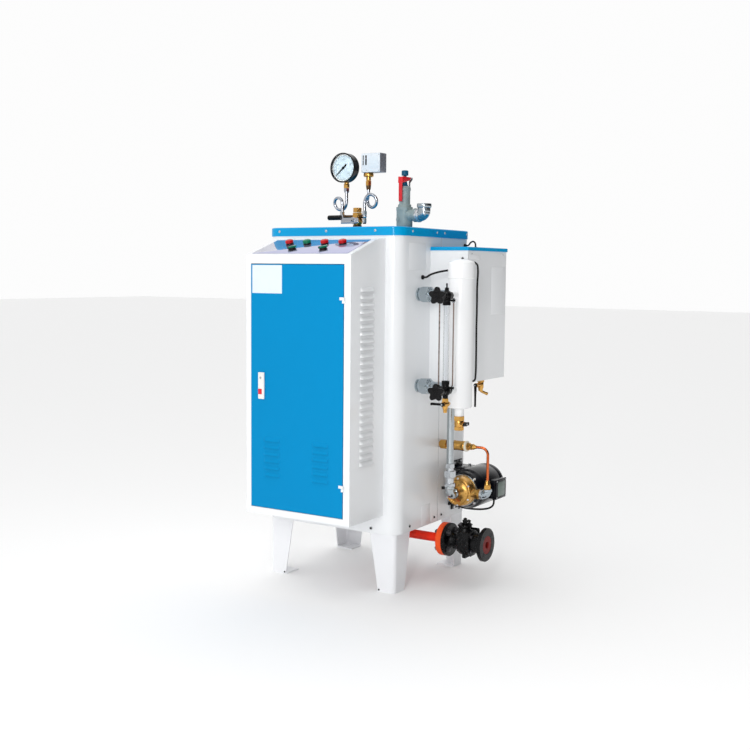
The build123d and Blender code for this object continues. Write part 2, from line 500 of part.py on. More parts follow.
gl = [rod((CAS_HX, -108, 1121), (CAS_HX + 8, -108, 1121), 9),          # electrode lead, casing
      rod(off_column(44, 1147), off_column(53, 1147), 8) - rod((*c0, 1100), (*c0, 1200), COL_R + 2.0),
      rod((CAS_HX, 212, 1240), (CAS_HX + 8, 212, 1240), 8),            # float lead, casing
      rod((332, 212, TK_Z1 + 13), (332, 212, TK_Z1 + 19), 8),          # float lead, tank cover
      rod((420, TK_Y0 - 8, 757), (420, TK_Y0, 757), 7),                # column lead, tank front
      rod((CAS_HX, 118, 264), (CAS_HX + 8, 118, 264), 8),              # motor lead, casing
      rod((440, 190, 282), (440, 190, 290), 8)]                        # motor lead, terminal box
parts["lead_glands"] = Compound(children=gl)
parts["electrode_lead"] = route([(293, -108, 1121), (304, -108, 1121), (313, -107.5, 1129),
                                 (335, -104, 1137), (362, -102, 1143), off_column(73, 1147), off_column(53, 1147)], 3.6, "electrode lead")
parts["float_lead"] = route([(293, 212, 1240), (302, 212, 1240), (309.5, 212.5, 1252), (321, 213, 1257.5),
                             (332, 212, 1249.5), (332, 212, 1236)], 3.0, "float lead")
parts["column_lead"] = route([(485, -96, 1175.5), (495, -90, 1168), (499, -92, 1145), (496.5, -93, 1090),
                              (498, -94, 1020), (496.5, -93, 940), (498, -94, 860), (497.5, -93, 796), (494, -90, 764),
                              (478, -82, 757), (452, -78, 756), (432, -77, 757), (420, -69, 757), (420, -57, 757)], 3.4, "column lead")
parts["motor_lead"] = route([(293, 118, 264), (307, 118, 264), (326, 121, 257), (350, 130, 251), (376, 143, 248.5),
                             (402, 156, 248), (424, 172, 250.5), (435, 183.5, 257), (440, 190, 268), (440, 190, 282)],
                            3.6, "motor lead")

for name, shape in parts.items():
    export_step(shape, f"parts/{name}.step")
print(len(parts), "nodes")
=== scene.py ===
import bpy
import bmesh
import math
from mathutils import Vector, Matrix


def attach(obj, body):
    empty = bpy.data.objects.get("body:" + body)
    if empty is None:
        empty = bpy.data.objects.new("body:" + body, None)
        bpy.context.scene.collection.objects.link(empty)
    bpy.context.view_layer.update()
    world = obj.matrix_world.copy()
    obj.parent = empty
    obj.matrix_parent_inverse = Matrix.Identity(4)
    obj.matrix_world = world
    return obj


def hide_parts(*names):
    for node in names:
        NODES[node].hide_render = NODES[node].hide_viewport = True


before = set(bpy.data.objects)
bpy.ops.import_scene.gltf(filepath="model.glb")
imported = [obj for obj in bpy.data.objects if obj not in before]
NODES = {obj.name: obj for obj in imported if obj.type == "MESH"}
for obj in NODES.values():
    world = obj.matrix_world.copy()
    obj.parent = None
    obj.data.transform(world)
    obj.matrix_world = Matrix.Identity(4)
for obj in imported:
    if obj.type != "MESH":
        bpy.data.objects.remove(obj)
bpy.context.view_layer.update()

# ------------------------------------------------------------------- camera
AZ, PITCH, ROLL = math.radians(32.169), math.radians(5.393), math.radians(0.5295)
fwd = Vector((-math.sin(AZ) * math.cos(PITCH), math.cos(AZ) * math.cos(PITCH), -math.sin(PITCH)))
right = Vector((math.cos(AZ), math.sin(AZ), 0))
up = right.cross(fwd)
r2 = right * math.cos(ROLL) + up * math.sin(ROLL)
u2 = up * math.cos(ROLL) - right * math.sin(ROLL)
cam_data = bpy.data.cameras.new("camera")
cam_data.sensor_fit = "HORIZONTAL"
cam_data.sensor_width = 36.0
cam_data.lens = 1108.21 / 750.0 * 36.0
cam_data.clip_start = 0.05
cam_data.clip_end = 200.0
cam = bpy.data.objects.new("camera", cam_data)
bpy.context.scene.collection.objects.link(cam)
M = Matrix((r2, u2, -fwd)).transposed().to_4x4()
M.translation = Vector((2.2555, -3.5506, 1.1439))
cam.matrix_world = M
bpy.context.scene.camera = cam


# ---------------------------------------------------------------- materials
def lin(r, g, b):
    def f(c):
        c = c / 255.0
        return c / 12.92 if c <= 0.04045 else ((c + 0.055) / 1.055) ** 2.4
    return (f(r), f(g), f(b), 1.0)


def tint(c, k):
    return (min(1.0, c[0] * k), min(1.0, c[1] * k), min(1.0, c[2] * k), 1.0)


def material(name, rgb, rough=0.35, metal=0.0, coat=0.0, coat_rough=0.08, vary=0.05, vary_scale=14.0, rvary=0.06,
             grain=900.0, bump=0.08, depth=0.0002, second=None, second_at=(0.55, 0.75), second_scale=30.0,
             stretch=None, sheen=0.0, ior=1.5, spec=0.5, detail=4.0):
    """Procedural finish: large tone changes, uneven gloss, fine surface grain and an optional second tone."""
    m = bpy.data.materials.new(name)
    m.use_nodes = True
    nt = m.node_tree
    nt.nodes.clear()
    N, L = nt.nodes.new, nt.links.new
    out = N("ShaderNodeOutputMaterial")
    p = N("ShaderNodeBsdfPrincipled")
    L(p.outputs[0], out.inputs[0])
    p.inputs["Metallic"].default_value = metal
    p.inputs["Coat Weight"].default_value = coat
    p.inputs["Coat Roughness"].default_value = coat_rough
    p.inputs["IOR"].default_value = ior
    p.inputs["Specular IOR Level"].default_value = spec
    if sheen:
        p.inputs["Sheen Weight"].default_value = sheen
    tc = N("ShaderNodeTexCoord")
    mp = N("ShaderNodeMapping")
    L(tc.outputs["Object"], mp.inputs["Vector"])
    if stretch:
        mp.inputs["Scale"].default_value = stretch
    base = lin(*rgb)
    n1 = N("ShaderNodeTexNoise")
    n1.inputs["Scale"].default_value = vary_scale
    n1.inputs["Detail"].default_value = detail
    L(tc.outputs["Object"], n1.inputs["Vector"])
    r1 = N("ShaderNodeValToRGB")
    r1.color_ramp.elements[0].position = 0.3
    r1.color_ramp.elements[1].position = 0.72
    r1.color_ramp.elements[0].color = tint(base, 1.0 - vary)
    r1.color_ramp.elements[1].color = tint(base, 1.0 + vary * 0.6)
    L(n1.outputs["Fac"], r1.inputs["Fac"])
    colour = r1.outputs["Color"]
    if second:
        n4 = N("ShaderNodeTexNoise")
        n4.inputs["Scale"].default_value = second_scale
        n4.inputs["Detail"].default_value = 8.0
        n4.inputs["Roughness"].default_value = 0.65
        L(tc.outputs["Object"], n4.inputs["Vector"])
        r4 = N("ShaderNodeMapRange")
        r4.inputs["From Min"].default_value = second_at[0]
        r4.inputs["From Max"].default_value = second_at[1]
        L(n4.outputs["Fac"], r4.inputs["Value"])
        mx = N("ShaderNodeMix")
        mx.data_type = "RGBA"
        L(r4.outputs["Result"], mx.inputs["Factor"])
        L(colour, mx.inputs["A"])
        mx.inputs["B"].default_value = lin(*second)
        colour = mx.outputs["Result"]
    L(colour, p.inputs["Base Color"])
    n2 = N("ShaderNodeTexNoise")
    n2.inputs["Scale"].default_value = vary_scale * 2.7
    n2.inputs["Detail"].default_value = 6.0
    L(mp.outputs["Vector"], n2.inputs["Vector"])
    r2_ = N("ShaderNodeMapRange")
    r2_.inputs["From Min"].default_value = 0.3
    r2_.inputs["From Max"].default_value = 0.7
    r2_.inputs["To Min"].default_value = max(0.02, rough - rvary)
    r2_.inputs["To Max"].default_value = min(1.0, rough + rvary)
    L(n2.outputs["Fac"], r2_.inputs["Value"])
    L(r2_.outputs["Result"], p.inputs["Roughness"])
    n3 = N("ShaderNodeTexNoise")
    n3.inputs["Scale"].default_value = grain
    n3.inputs["Detail"].default_value = 3.0
    L(mp.outputs["Vector"], n3.inputs["Vector"])
    bp = N("ShaderNodeBump")
    bp.inputs["Strength"].default_value = bump
    bp.inputs["Distance"].default_value = depth
    L(n3.outputs["Fac"], bp.inputs["Height"])
    L(bp.outputs["Normal"], p.inputs["Normal"])
    return m


WHITE = material("white_gloss_paint", (241, 243, 245), 0.27, coat=0.25, coat_rough=0.06, vary=0.003, vary_scale=1.2,
                 rvary=0.002, grain=520, bump=0.03, depth=0.0002, detail=1.0)
WHITE2 = material("white_leg_paint", (240, 241, 244), 0.36, coat=0.15, vary=0.004, vary_scale=2.0, rvary=0.004, grain=520, bump=0.04,
                  depth=0.0002, detail=1.0)
WHITE3 = material("white_column_paint", (246, 247, 248), 0.32, coat=0.25, vary=0.003, vary_scale=2.0, rvary=0.004, grain=380,
                  bump=0.035, depth=0.0002, detail=1.0)
LIDBLUE = material("lid_blue_paint", (0, 158, 216), 0.18, coat=0.22, coat_rough=0.03, vary=0.02, vary_scale=2.5,
                   rvary=0.03, grain=480, bump=0.03, depth=0.0002, detail=1.0, spec=0.12)
DOORBLUE = material("door_blue_paint", (0, 138, 196), 0.42, vary=0.02, vary_scale=1.6,
                    rvary=0.03, grain=560, bump=0.05, depth=0.0002, detail=1.0, spec=0.07)
# Control plate: a glossy sheet whose lavender-grey base colour is painted reflection of blue surroundings.
PANEL_REFLECTION_TINT = material("panel_sheet_painted_reflection", (166, 168, 200), 0.09, metal=0.5, coat=0.5, coat_rough=0.03, vary=0.03, vary_scale=8,
                 rvary=0.03, grain=260, bump=0.02, depth=0.0002)
GALV = material("galvanised_iron", (174, 180, 183), 0.15, metal=0.96, vary=0.02, vary_scale=30, rvary=0.02, grain=300,
                bump=0.02, depth=0.0001, second=(162, 169, 172), second_at=(0.5, 0.8), second_scale=30)
STEEL = material("polished_steel", (178, 182, 190), 0.12, metal=1.0, vary=0.03, vary_scale=30, rvary=0.03, grain=400,
                 bump=0.02, depth=0.00005)
GALVD = material("galvanised_fitting", (176, 186, 192), 0.18, metal=0.95, vary=0.04, vary_scale=40, rvary=0.03, grain=420,
                 bump=0.03, depth=0.0001, second=(156, 166, 172), second_at=(0.54, 0.8), second_scale=40)
RODS = material("guard_rod_steel", (128, 112, 106), 0.3, metal=0.7, vary=0.1, vary_scale=30, grain=700, bump=0.05,
                depth=0.0001)
SIDEPLATE = material("blank_side_label", (240, 242, 244), 0.45, vary=0.01, vary_scale=20, grain=500, bump=0.03,
                     depth=0.0002)
SATIN = material("satin_steel", (200, 204, 208), 0.2, metal=1.0, vary=0.06, vary_scale=60, rvary=0.08, grain=1300,
                 bump=0.08, depth=0.0001, stretch=(1, 1, 0.08))
ZINC = material("zinc_plate", (214, 216, 218), 0.3, metal=0.75, vary=0.05, vary_scale=120, grain=1200, bump=0.06,
                depth=0.0001)
BRASS = material("machined_brass", (214, 164, 88), 0.22, metal=1.0, vary=0.07, vary_scale=50, rvary=0.06, grain=900,
                 bump=0.05, depth=0.0001, second=(176, 120, 56), second_at=(0.6, 0.8), second_scale=80)
BRASSC = material("cast_brass", (190, 132, 56), 0.4, metal=0.95, vary=0.14, vary_scale=60, rvary=0.1, grain=900,
                  bump=0.35, depth=0.0004, second=(132, 84, 34), second_at=(0.55, 0.75), second_scale=90)
BRONZE = material("bronze_casting", (204, 158, 86), 0.3, metal=0.95, vary=0.09, vary_scale=40, rvary=0.06, grain=700,
                  bump=0.22, depth=0.0003, second=(170, 122, 58), second_at=(0.56, 0.78), second_scale=60)
DARKSTEEL = material("dark_bolt", (92, 90, 94), 0.36, metal=0.8, vary=0.2, vary_scale=90, rvary=0.1, grain=900, bump=0.15,
                     depth=0.0002, second=(52, 48, 50), second_at=(0.5, 0.7), second_scale=140)
DARKBRASS = material("dark_brass", (96, 74, 52), 0.35, metal=0.9, vary=0.15, vary_scale=60, rvary=0.08, grain=900,
                     bump=0.1, depth=0.0002, second=(52, 42, 36), second_at=(0.5, 0.7), second_scale=90)
COPPER = material("bare_copper", (206, 104, 58), 0.24, metal=1.0, vary=0.12, vary_scale=80, rvary=0.08, grain=1100,
                  bump=0.06, depth=0.0001, second=(168, 70, 34), second_at=(0.55, 0.75), second_scale=60)
BLACKIRON = material("black_painted_casting", (8, 8, 10), 0.3, vary=0.25, vary_scale=60,
                     rvary=0.1, grain=620, bump=0.5, depth=0.0005, second=(20, 19, 20), second_at=(0.6, 0.82),
                     second_scale=120, spec=0.2)
BLACK = material("black_plastic", (11, 11, 13), 0.4, vary=0.15, vary_scale=50, grain=1500, bump=0.12, depth=0.00012,
                 spec=0.2)
BLACKGL = material("black_gloss", (6, 6, 8), 0.16, coat=0.08, vary=0.1, vary_scale=40, grain=600, bump=0.03,
                   depth=0.0001, spec=0.35)
RUBBER = material("cable_sheath", (10, 10, 11), 0.5, vary=0.12, vary_scale=90, grain=1800, bump=0.1, depth=0.0001,
                  spec=0.3)
MOTOR = material("motor_paint", (6, 8, 18), 0.2, coat=0.03, coat_rough=0.1, vary=0.12, vary_scale=20, rvary=0.05,
                 grain=500, bump=0.06, depth=0.0002, spec=0.22)
GREYCAST = material("grey_cast_iron", (150, 166, 166), 0.5, metal=0.1, vary=0.14, vary_scale=55, rvary=0.1, grain=700,
                    bump=0.55, depth=0.0006, second=(120, 136, 136), second_at=(0.55, 0.75), second_scale=110)
SATCAST = material("machined_grey", (150, 160, 160), 0.34, metal=0.5, vary=0.1, vary_scale=70, grain=900, bump=0.15,
                   depth=0.0002)
REDPIPE = material("red_oxide_paint", (240, 44, 10), 0.4, spec=0.25, vary=0.14, vary_scale=30, rvary=0.1, grain=420,
                   bump=0.3, depth=0.0006, second=(190, 30, 10), second_at=(0.52, 0.75), second_scale=24)
ORANGE = material("orange_flange_paint", (244, 84, 26), 0.42, spec=0.3, vary=0.12, vary_scale=36, rvary=0.1,
                  grain=420, bump=0.3, depth=0.0006, second=(206, 60, 18), second_at=(0.52, 0.72), second_scale=40)
DARKRED = material("dark_red_face", (126, 30, 26), 0.5, spec=0.2, vary=0.18, vary_scale=60, grain=500, bump=0.3, depth=0.0004,
                   second=(92, 18, 16), second_at=(0.5, 0.7), second_scale=80)
RED = material("red_lever_paint", (226, 22, 36), 0.34, coat=0.1, vary=0.08, vary_scale=40, grain=420, bump=0.15,
               depth=0.0004)
TEAL = material("teal_paint", (0, 84, 116), 0.4, spec=0.25, vary=0.14, vary_scale=60, grain=500, bump=0.2,
                depth=0.0004)
REDLENS = material("red_lens", (196, 8, 20), 0.18, spec=0.3, vary=0.08, vary_scale=60, grain=900, bump=0.03,
                   depth=0.0001)
GREENLENS = material("green_lens", (0, 120, 84), 0.18, spec=0.3, vary=0.08, vary_scale=60, grain=900, bump=0.03,
                     depth=0.0001)
GREENKNOB = material("green_plastic", (0, 122, 96), 0.3, spec=0.3, vary=0.06, vary_scale=60, grain=1200, bump=0.08,
                     depth=0.0001)
CREAM = material("ptfe_seal", (236, 232, 216), 0.45, vary=0.05, vary_scale=120, grain=900, bump=0.2, depth=0.0003)
PLASTICW = material("white_plastic", (238, 238, 234), 0.3, coat=0.2, vary=0.02, vary_scale=60, grain=1200, bump=0.06,
                    depth=0.0001)
SWITCH = material("controller_cover", (228, 236, 243), 0.3, metal=0.05, coat=0.1, vary=0.03, vary_scale=30,
                  grain=900, bump=0.05, depth=0.0002)
SWITCHG = material("controller_side", (150, 152, 160), 0.32, metal=0.5, vary=0.06, vary_scale=40, grain=900, bump=0.06,
                   depth=0.0002)
SEAM = material("seam_shadow", (150, 152, 156), 0.6, vary=0.05, vary_scale=20, grain=600, bump=0.1, depth=0.0002)
DIALINK = material("dial_ink", (84, 100, 108), 0.6, vary=0.05, vary_scale=60, grain=900, bump=0.03, depth=0.0001, spec=0.2)
DIAL = material("dial_white", (208, 226, 234), 0.5, vary=0.01, vary_scale=40, grain=900, bump=0.03, depth=0.0001)
# Near-black fill for louvre openings, bores, bolt holes, vent slots, switch slots and screw recesses: painted shade
# standing in for the shade inside them.
OPENING_SHADE = material("painted_opening_shade", (26, 27, 30), 0.7, vary=0.2, vary_scale=80, grain=700, bump=0.1, depth=0.0002)
PLATE = material("blank_label", (226, 236, 243), 0.36, vary=0.015, vary_scale=30, grain=500, bump=0.03,
                 depth=0.0002)
PLATEG = material("blank_rating_plate", (112, 124, 118), 0.34, metal=0.6, vary=0.08, vary_scale=60, grain=900,
                  bump=0.08, depth=0.0002, stretch=(1, 0.06, 1))



def clear(name, mid, edge, ior):
    """Clear glass, its base colour darker towards the rounded edges as seen: painted shade and reflection standing in
    for the dark edge lines of a glass tube.
    """
    m = bpy.data.materials.new(name)
    m.use_nodes = True
    nt = m.node_tree
    pr = nt.nodes["Principled BSDF"]
    pr.inputs["Transmission Weight"].default_value = 1.0
    pr.inputs["IOR"].default_value = ior
    tc = nt.nodes.new("ShaderNodeTexCoord")
    nz = nt.nodes.new("ShaderNodeTexNoise")
    nz.inputs["Scale"].default_value = 60.0
    nt.links.new(tc.outputs["Object"], nz.inputs["Vector"])
    mr = nt.nodes.new("ShaderNodeMapRange")
    mr.inputs["To Min"].default_value = 0.0
    mr.inputs["To Max"].default_value = 0.003
    nt.links.new(nz.outputs["Fac"], mr.inputs["Value"])
    nt.links.new(mr.outputs["Result"], pr.inputs["Roughness"])
    lw = nt.nodes.new("ShaderNodeLayerWeight")
    lw.inputs["Blend"].default_value = 0.5
    cr = nt.nodes.new("ShaderNodeValToRGB")
    cr.color_ramp.elements[0].position = 0.5
    cr.color_ramp.elements[1].position = 0.88
    cr.color_ramp.elements[0].color = lin(*mid)
    cr.color_ramp.elements[1].color = lin(*edge)
    nt.links.new(lw.outputs["Facing"], cr.inputs["Fac"])
    nt.links.new(cr.outputs["Color"], pr.inputs["Base Color"])
    return m


# the tube's edge colour is painted shade and reflection for its dark brownish edge lines; the window has a faint
# painted edge tone
GLASS = clear("gauge_tube_glass", (249, 250, 251), (96, 76, 72), 1.1)
WINDOW = clear("window_glass", (253, 254, 255), (225, 232, 235), 1.03)


# ------------------------------------------------------------------- cords
def lead(name, points, r):
    cu = bpy.data.curves.new(name, "CURVE")
    cu.dimensions = "3D"
    sp = cu.splines.new("NURBS")
    sp.points.add(len(points) - 1)
    for q, co in zip(sp.points, points):
        q.co = (co[0] / 1000, co[1] / 1000, co[2] / 1000, 1.0)
    sp.order_u = 3
    sp.use_endpoint_u = True
    sp.resolution_u = 10
    cu.bevel_depth = r / 1000
    cu.bevel_resolution = 5
    cu.use_fill_caps = True
    cu.materials.append(RUBBER)
    ob = bpy.data.objects.new(name + "_cable", cu)
    bpy.context.scene.collection.objects.link(ob)
    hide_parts(name)
    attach(ob, "boiler")
    return ob


GO = Vector((-43.5, 22, 0)).normalized()


def off_column(r, z):
    return (453.0 + GO.x * r, -128.0 + GO.y * r, z)


lead("electrode_lead", [(293, -108, 1121), (304, -108, 1121), (313, -107.5, 1129), (335, -104, 1137), (362, -102, 1143),
                        off_column(73, 1147), off_column(53, 1147)], 3.6)
lead("float_lead", [(293, 212, 1240), (302, 212, 1240), (309.5, 212.5, 1252), (321, 213, 1257.5),
                    (332, 212, 1249.5), (332, 212, 1236)], 3.0)
lead("motor_lead", [(293, 118, 264), (307, 118, 264), (326, 121, 257), (350, 130, 251), (376, 143, 248.5),
                    (402, 156, 248), (424, 172, 250.5), (435, 183.5, 257), (440, 190, 268), (440, 190, 282)],
     3.6)


# ------------------------------------------------------------ mesh building
def frame_of(axis, xref=None):
    z = Vector(axis).normalized()
    if xref is None:
        x = Vector((0, 0, 1)).cross(z)
        if x.length < 1e-3:
            x = Vector((1, 0, 0))
        x.normalize()
    else:
        x = Vector(xref)
        x = (x - z * x.dot(z)).normalized()
    return x, z.cross(x), z


class Piece:
    """Collects solids in millimetres and turns them into one object in metres."""

    def __init__(self):
        self.bm = bmesh.new()

    def take(self, b, mat, move=None):
        if move is not None:
            bmesh.ops.transform(b, matrix=move, verts=b.verts[:])
        for f in b.faces:
            f.material_index = mat
            f.smooth = True
        bmesh.ops.recalc_face_normals(b, faces=b.faces[:])
        t = bpy.data.meshes.new("tmp")
        b.to_mesh(t)
        b.free()
        self.bm.from_mesh(t)
        bpy.data.meshes.remove(t)
        return self

    def spin(self, prof, o, axis, mat=0, segs=48, ring=False, shape=None):
        """Surface of revolution from (radius, height) pairs; shape(angle, r) may change the radius."""
        b = bmesh.new()
        o = Vector(o)
        x, y, z = frame_of(axis)
        rings = []
        for r, h in prof:
            c = o + z * h
            if r < 1e-6:
                rings.append([b.verts.new(c)])
            else:
                row = []
                for k in range(segs):
                    t = 2 * math.pi * k / segs
                    rr = shape(t, r, h) if shape else r
                    row.append(b.verts.new(c + (x * math.cos(t) + y * math.sin(t)) * rr))
                rings.append(row)
        n = len(rings)
        for i in range(n if ring else n - 1):
            A, B = rings[i], rings[(i + 1) % n]
            if len(A) == 1 and len(B) == 1:
                continue
            for k in range(segs):
                k2 = (k + 1) % segs
                if len(A) == 1:
                    b.faces.new((A[0], B[k], B[k2]))
                elif len(B) == 1:
                    b.faces.new((A[k], A[k2], B[0]))
                else:
                    b.faces.new((A[k], A[k2], B[k2], B[k]))
        if not ring:
            for row in (rings[0], rings[-1]):
                if len(row) > 1:
                    b.faces.new(row)
        return self.take(b, mat)

    def hexa(self, p, q, af, mat=0, hole=0.0, turn=0.0, both=True):
        """Hexagon with the turned chamfer of a real nut on its ends."""
        p, q = Vector(p), Vector(q)
        h = (q - p).length
        rc, ri = af / math.sqrt(3), af / 2
        ch = (rc - ri) * 0.6
        ch = min(ch, h * 0.3)

        def shape(t, cap, hh):
            a = ((t + turn) % (math.pi / 3)) - math.pi / 6
            return min(cap, ri / math.cos(a))

        steps = 4
        prof = []
        for k in range(steps + 1):
            prof.append((ri * 0.99 + (rc - ri * 0.99) * k / steps, ch * k / steps))
        prof = prof + [(r, h - hh) for r, hh in reversed(prof)] if both else prof + [(rc, h)]
        if hole:
            prof = [(hole, 0)] + prof + [(hole, h)]
        return self.spin(prof, p, q - p, mat, 60, ring=bool(hole), shape=lambda t, r, hh: r if hole and r == hole
                         else shape(t, r, hh))

    def rod(self, p, q, r, mat=0, segs=40, ch=None, r1=None):
        p, q = Vector(p), Vector(q)
        h = (q - p).length
        r1 = r if r1 is None else r1
        c = min(r, r1) * 0.08 if ch is None else ch
        c = min(c, h * 0.3)
        if c > 0:
            prof = [(0, 0), (r - c, 0), (r, c), (r1, h - c), (r1 - c, h), (0, h)]
        else:
            prof = [(0, 0), (r, 0), (r1, h), (0, h)]
        return self.spin(prof, p, q - p, mat, segs)

    def pipe(self, p, q, r, ri, mat=0, segs=40):
        p, q = Vector(p), Vector(q)
        h = (q - p).length
        c = (r - ri) * 0.25
        return self.spin([(ri, 0), (r - c, 0), (r, c), (r, h - c), (r - c, h), (ri + c, h), (ri, h - c)], p, q - p,
                         mat, segs, ring=True)

    def thread(self, p, q, r, pitch=2.0, mat=0, depth=0.8):
        p, q = Vector(p), Vector(q)
        h = (q - p).length
        n = max(2, int(h / pitch))
        prof = [(0, 0)]
        for k in range(n):
            prof += [(r - depth, h * k / n), (r, h * (k + 0.5) / n)]
        prof += [(r - depth, h), (0, h)]
        return self.spin(prof, p, q - p, mat, 36)

    def ball(self, o, r, mat=0, squash=1.0, axis=(0, 0, 1), segs=40):
        n = 16
        prof = [(r * math.sin(math.pi * k / n), -r * squash * math.cos(math.pi * k / n)) for k in range(n + 1)]
        prof[0], prof[-1] = (0, -r * squash), (0, r * squash)
        return self.spin(prof, o, axis, mat, segs)

    def box(self, lo, hi, bev=1.0, mat=0, segs=2, move=None):
        b = bmesh.new()
        bmesh.ops.create_cube(b, size=1.0)
        lo, hi = Vector(lo), Vector(hi)
        for v in b.verts:
            v.co = Vector([lo[i] + (v.co[i] + 0.5) * (hi[i] - lo[i]) for i in range(3)])
        if bev > 0:
            bmesh.ops.bevel(b, geom=b.edges[:], offset=min(bev, 0.45 * min(hi[i] - lo[i] for i in range(3))),
                            segments=segs, profile=0.5, affect="EDGES")
        return self.take(b, mat, move)

    def prism(self, pts, o, xd, zd, depth, bev=0.5, mat=0, segs=2):
        """Outline given in the plane (o, xd, zd x xd), raised by depth along zd."""
        b = bmesh.new()
        x, y, z = frame_of(zd, xd)
        o = Vector(o)
        lo = [b.verts.new(o + x * u + y * v) for u, v in pts]
        hi = [b.verts.new(o + x * u + y * v + z * depth) for u, v in pts]
        n = len(pts)
        b.faces.new(lo)
        b.faces.new(hi)
        for k in range(n):
            b.faces.new((lo[k], lo[(k + 1) % n], hi[(k + 1) % n], hi[k]))
        bmesh.ops.recalc_face_normals(b, faces=b.faces[:])
        if bev > 0:
            sharp = [e for e in b.edges if len(e.link_faces) == 2 and e.calc_face_angle(0) > math.radians(28)]
            bmesh.ops.bevel(b, geom=sharp, offset=bev, segments=segs, profile=0.5, affect="EDGES")
        return self.take(b, mat)

    def tube(self, pts, r, mat=0, segs=24, flat=1.0):
        """Round bar swept along close points; r may be a list of radii."""
        b = bmesh.new()
        P = [Vector(p) for p in pts]
        n = len(P)
        T = [(P[min(i + 1, n - 1)] - P[max(i - 1, 0)]).normalized() for i in range(n)]
        x = frame_of(T[0])[0]
        rows = []
        for i in range(n):
            x = (x - T[i] * x.dot(T[i])).normalized()
            y = T[i].cross(x)
            rr = r[i] if isinstance(r, (list, tuple)) else r
            rows.append([b.verts.new(P[i] + (x * math.cos(2 * math.pi * k / segs) * flat +
                                             y * math.sin(2 * math.pi * k / segs)) * rr) for k in range(segs)])
        for A, B in zip(rows, rows[1:]):
            for k in range(segs):
                b.faces.new((A[k], A[(k + 1) % segs], B[(k + 1) % segs], B[k]))
        b.faces.new(rows[0])
        b.faces.new(rows[-1])
        return self.take(b, mat)

    def screw(self, o, axis, r=4.0, h=2.4, mat=0, washer=0, wmat=0, slot=None):
        """Pan-head screw on an optional washer, with a cross recess drawn as a thin cross in painted shade."""
        o, z = Vector(o), Vector(axis).normalized()
        w = 0.0
        if washer:
            self.spin([(0, 0), (washer, 0), (washer, 0.7), (washer - 0.3, 1.0), (0, 1.0)], o, z, wmat, 28)
            w = 0.9
        prof = [(0, w), (r * 0.94, w), (r, w + h * 0.25), (r * 0.93, w + h * 0.6), (r * 0.7, w + h * 0.88),
                (r * 0.35, w + h * 0.98), (0, w + h)]
        self.spin(prof, o, z, mat, 28)
        # the recess is not cut; a thin dark cross of painted shade stands in for it
        if slot is not None:
            x, y, _ = frame_of(z)
            for d in (x, y):
                e = z.cross(d)
                pts = [(-r * 0.5, -r * 0.11), (r * 0.5, -r * 0.11), (r * 0.5, r * 0.11), (-r * 0.5, r * 0.11)]
                self.prism(pts, o + z * (w + h * 0.9), d, z, h * 0.14, 0, slot)
        return self

    def bolt(self, o, axis, af, h, mat=0, washer=True, stud=0.0, smat=0):
        o, z = Vector(o), Vector(axis).normalized()
        if washer:
            self.spin([(0, 0), (af * 0.62, 0), (af * 0.62, 1.4), (0, 1.4)], o, z, mat, 32)
        self.hexa(o + z * 1.2, o + z * (1.2 + h), af, mat)
        if stud:
            self.thread(o + z * (1.0 + h), o + z * (1.2 + h + stud), af * 0.3, 1.5, smat, 0.4)
        return self

    def done(self, name, mats, body="boiler", replaces=(), angle=32, weighted=True):
        bmesh.ops.transform(self.bm, matrix=Matrix.Scale(0.001, 4), verts=self.bm.verts[:])
        me = bpy.data.meshes.new(name)
        self.bm.to_mesh(me)
        self.bm.free()
        for m in mats:
            me.materials.append(m)
        me.set_sharp_from_angle(angle=math.radians(angle))
        ob = bpy.data.objects.new(name, me)
        bpy.context.scene.collection.objects.link(ob)
        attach(ob, body)
        if replaces:
            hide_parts(*replaces)
        return ob


def elbow_path(a, c, b, R, n=14):
    """Points from a to b round the corner c with radius R."""
    a, c, b = Vector(a), Vector(c), Vector(b)
    u, v = (a - c).normalized(), (b - c).normalized()
    half = u.angle(v) / 2
    d = R / math.tan(half)
    centre = c + (u + v).normalized() * (R / math.sin(half))
    s, e = c + u * d, c + v * d
    pts = [a]
    for k in range(n + 1):
        w = (s - centre).slerp(e - centre, k / n).normalized() * R
        pts.append(centre + w)
    pts.append(b)
    out = [pts[0]]
    for q in pts[1:]:
        if (q - out[-1]).length > 0.05:
            out.append(q)
    return out


def dress(node, mat, bevel=0.0, segs=2):
    """Finish for a CAD node that stays; sharp outer edges are eased by a modifier."""
    ob = NODES[node]
    for s in ob.material_slots:
        s.material = mat
    if bevel:
        w = ob.modifiers.new("weld", "WELD")
        w.merge_threshold = 0.00002
        bv = ob.modifiers.new("edges", "BEVEL")
        bv.width = bevel / 1000
        bv.segments = segs
        bv.limit_method = "ANGLE"
        bv.angle_limit = math.radians(50)
        bv.use_clamp_overlap = True
    return ob


# ------------------------------------------------------ CAD nodes that stay
dress("casing_front", WHITE)
dress("casing_rear", WHITE)
dress("base_plate", WHITE)
dress("casing_lid", LIDBLUE)
dress("legs", WHITE2)
dress("cabinet_left_side", WHITE)
dress("cabinet_right_side", WHITE)
dress("cabinet_floor", WHITE)
dress("cabinet_front_frame", WHITE)
dress("control_panel", WHITE)
dress("door_panel", DOORBLUE)
dress("tank_walls", WHITE)
dress("tank_floor", WHITE)
dress("tank_cover", LIDBLUE)
dress("level_column", WHITE3)
dress("column_cap", WHITE3)
dress("gauge_glass", GLASS)
dress("gauge_guard_rods", RODS)
dress("column_drain_lever", BLACK)
dress("copper_pipe", COPPER)
dress("siphon_pipes", STEEL)
dress("column_lead", RUBBER)

# ------------------------------------------------------------------ hinges
for nm, body, y0, y1, node in (("cabinet_hinge_leaves", "boiler", 0, 0, "cabinet_hinges"),
                               ("door_hinge_leaves", "cabinet_door", 0, 0, "door_hinges")):
    dress(node, WHITE)

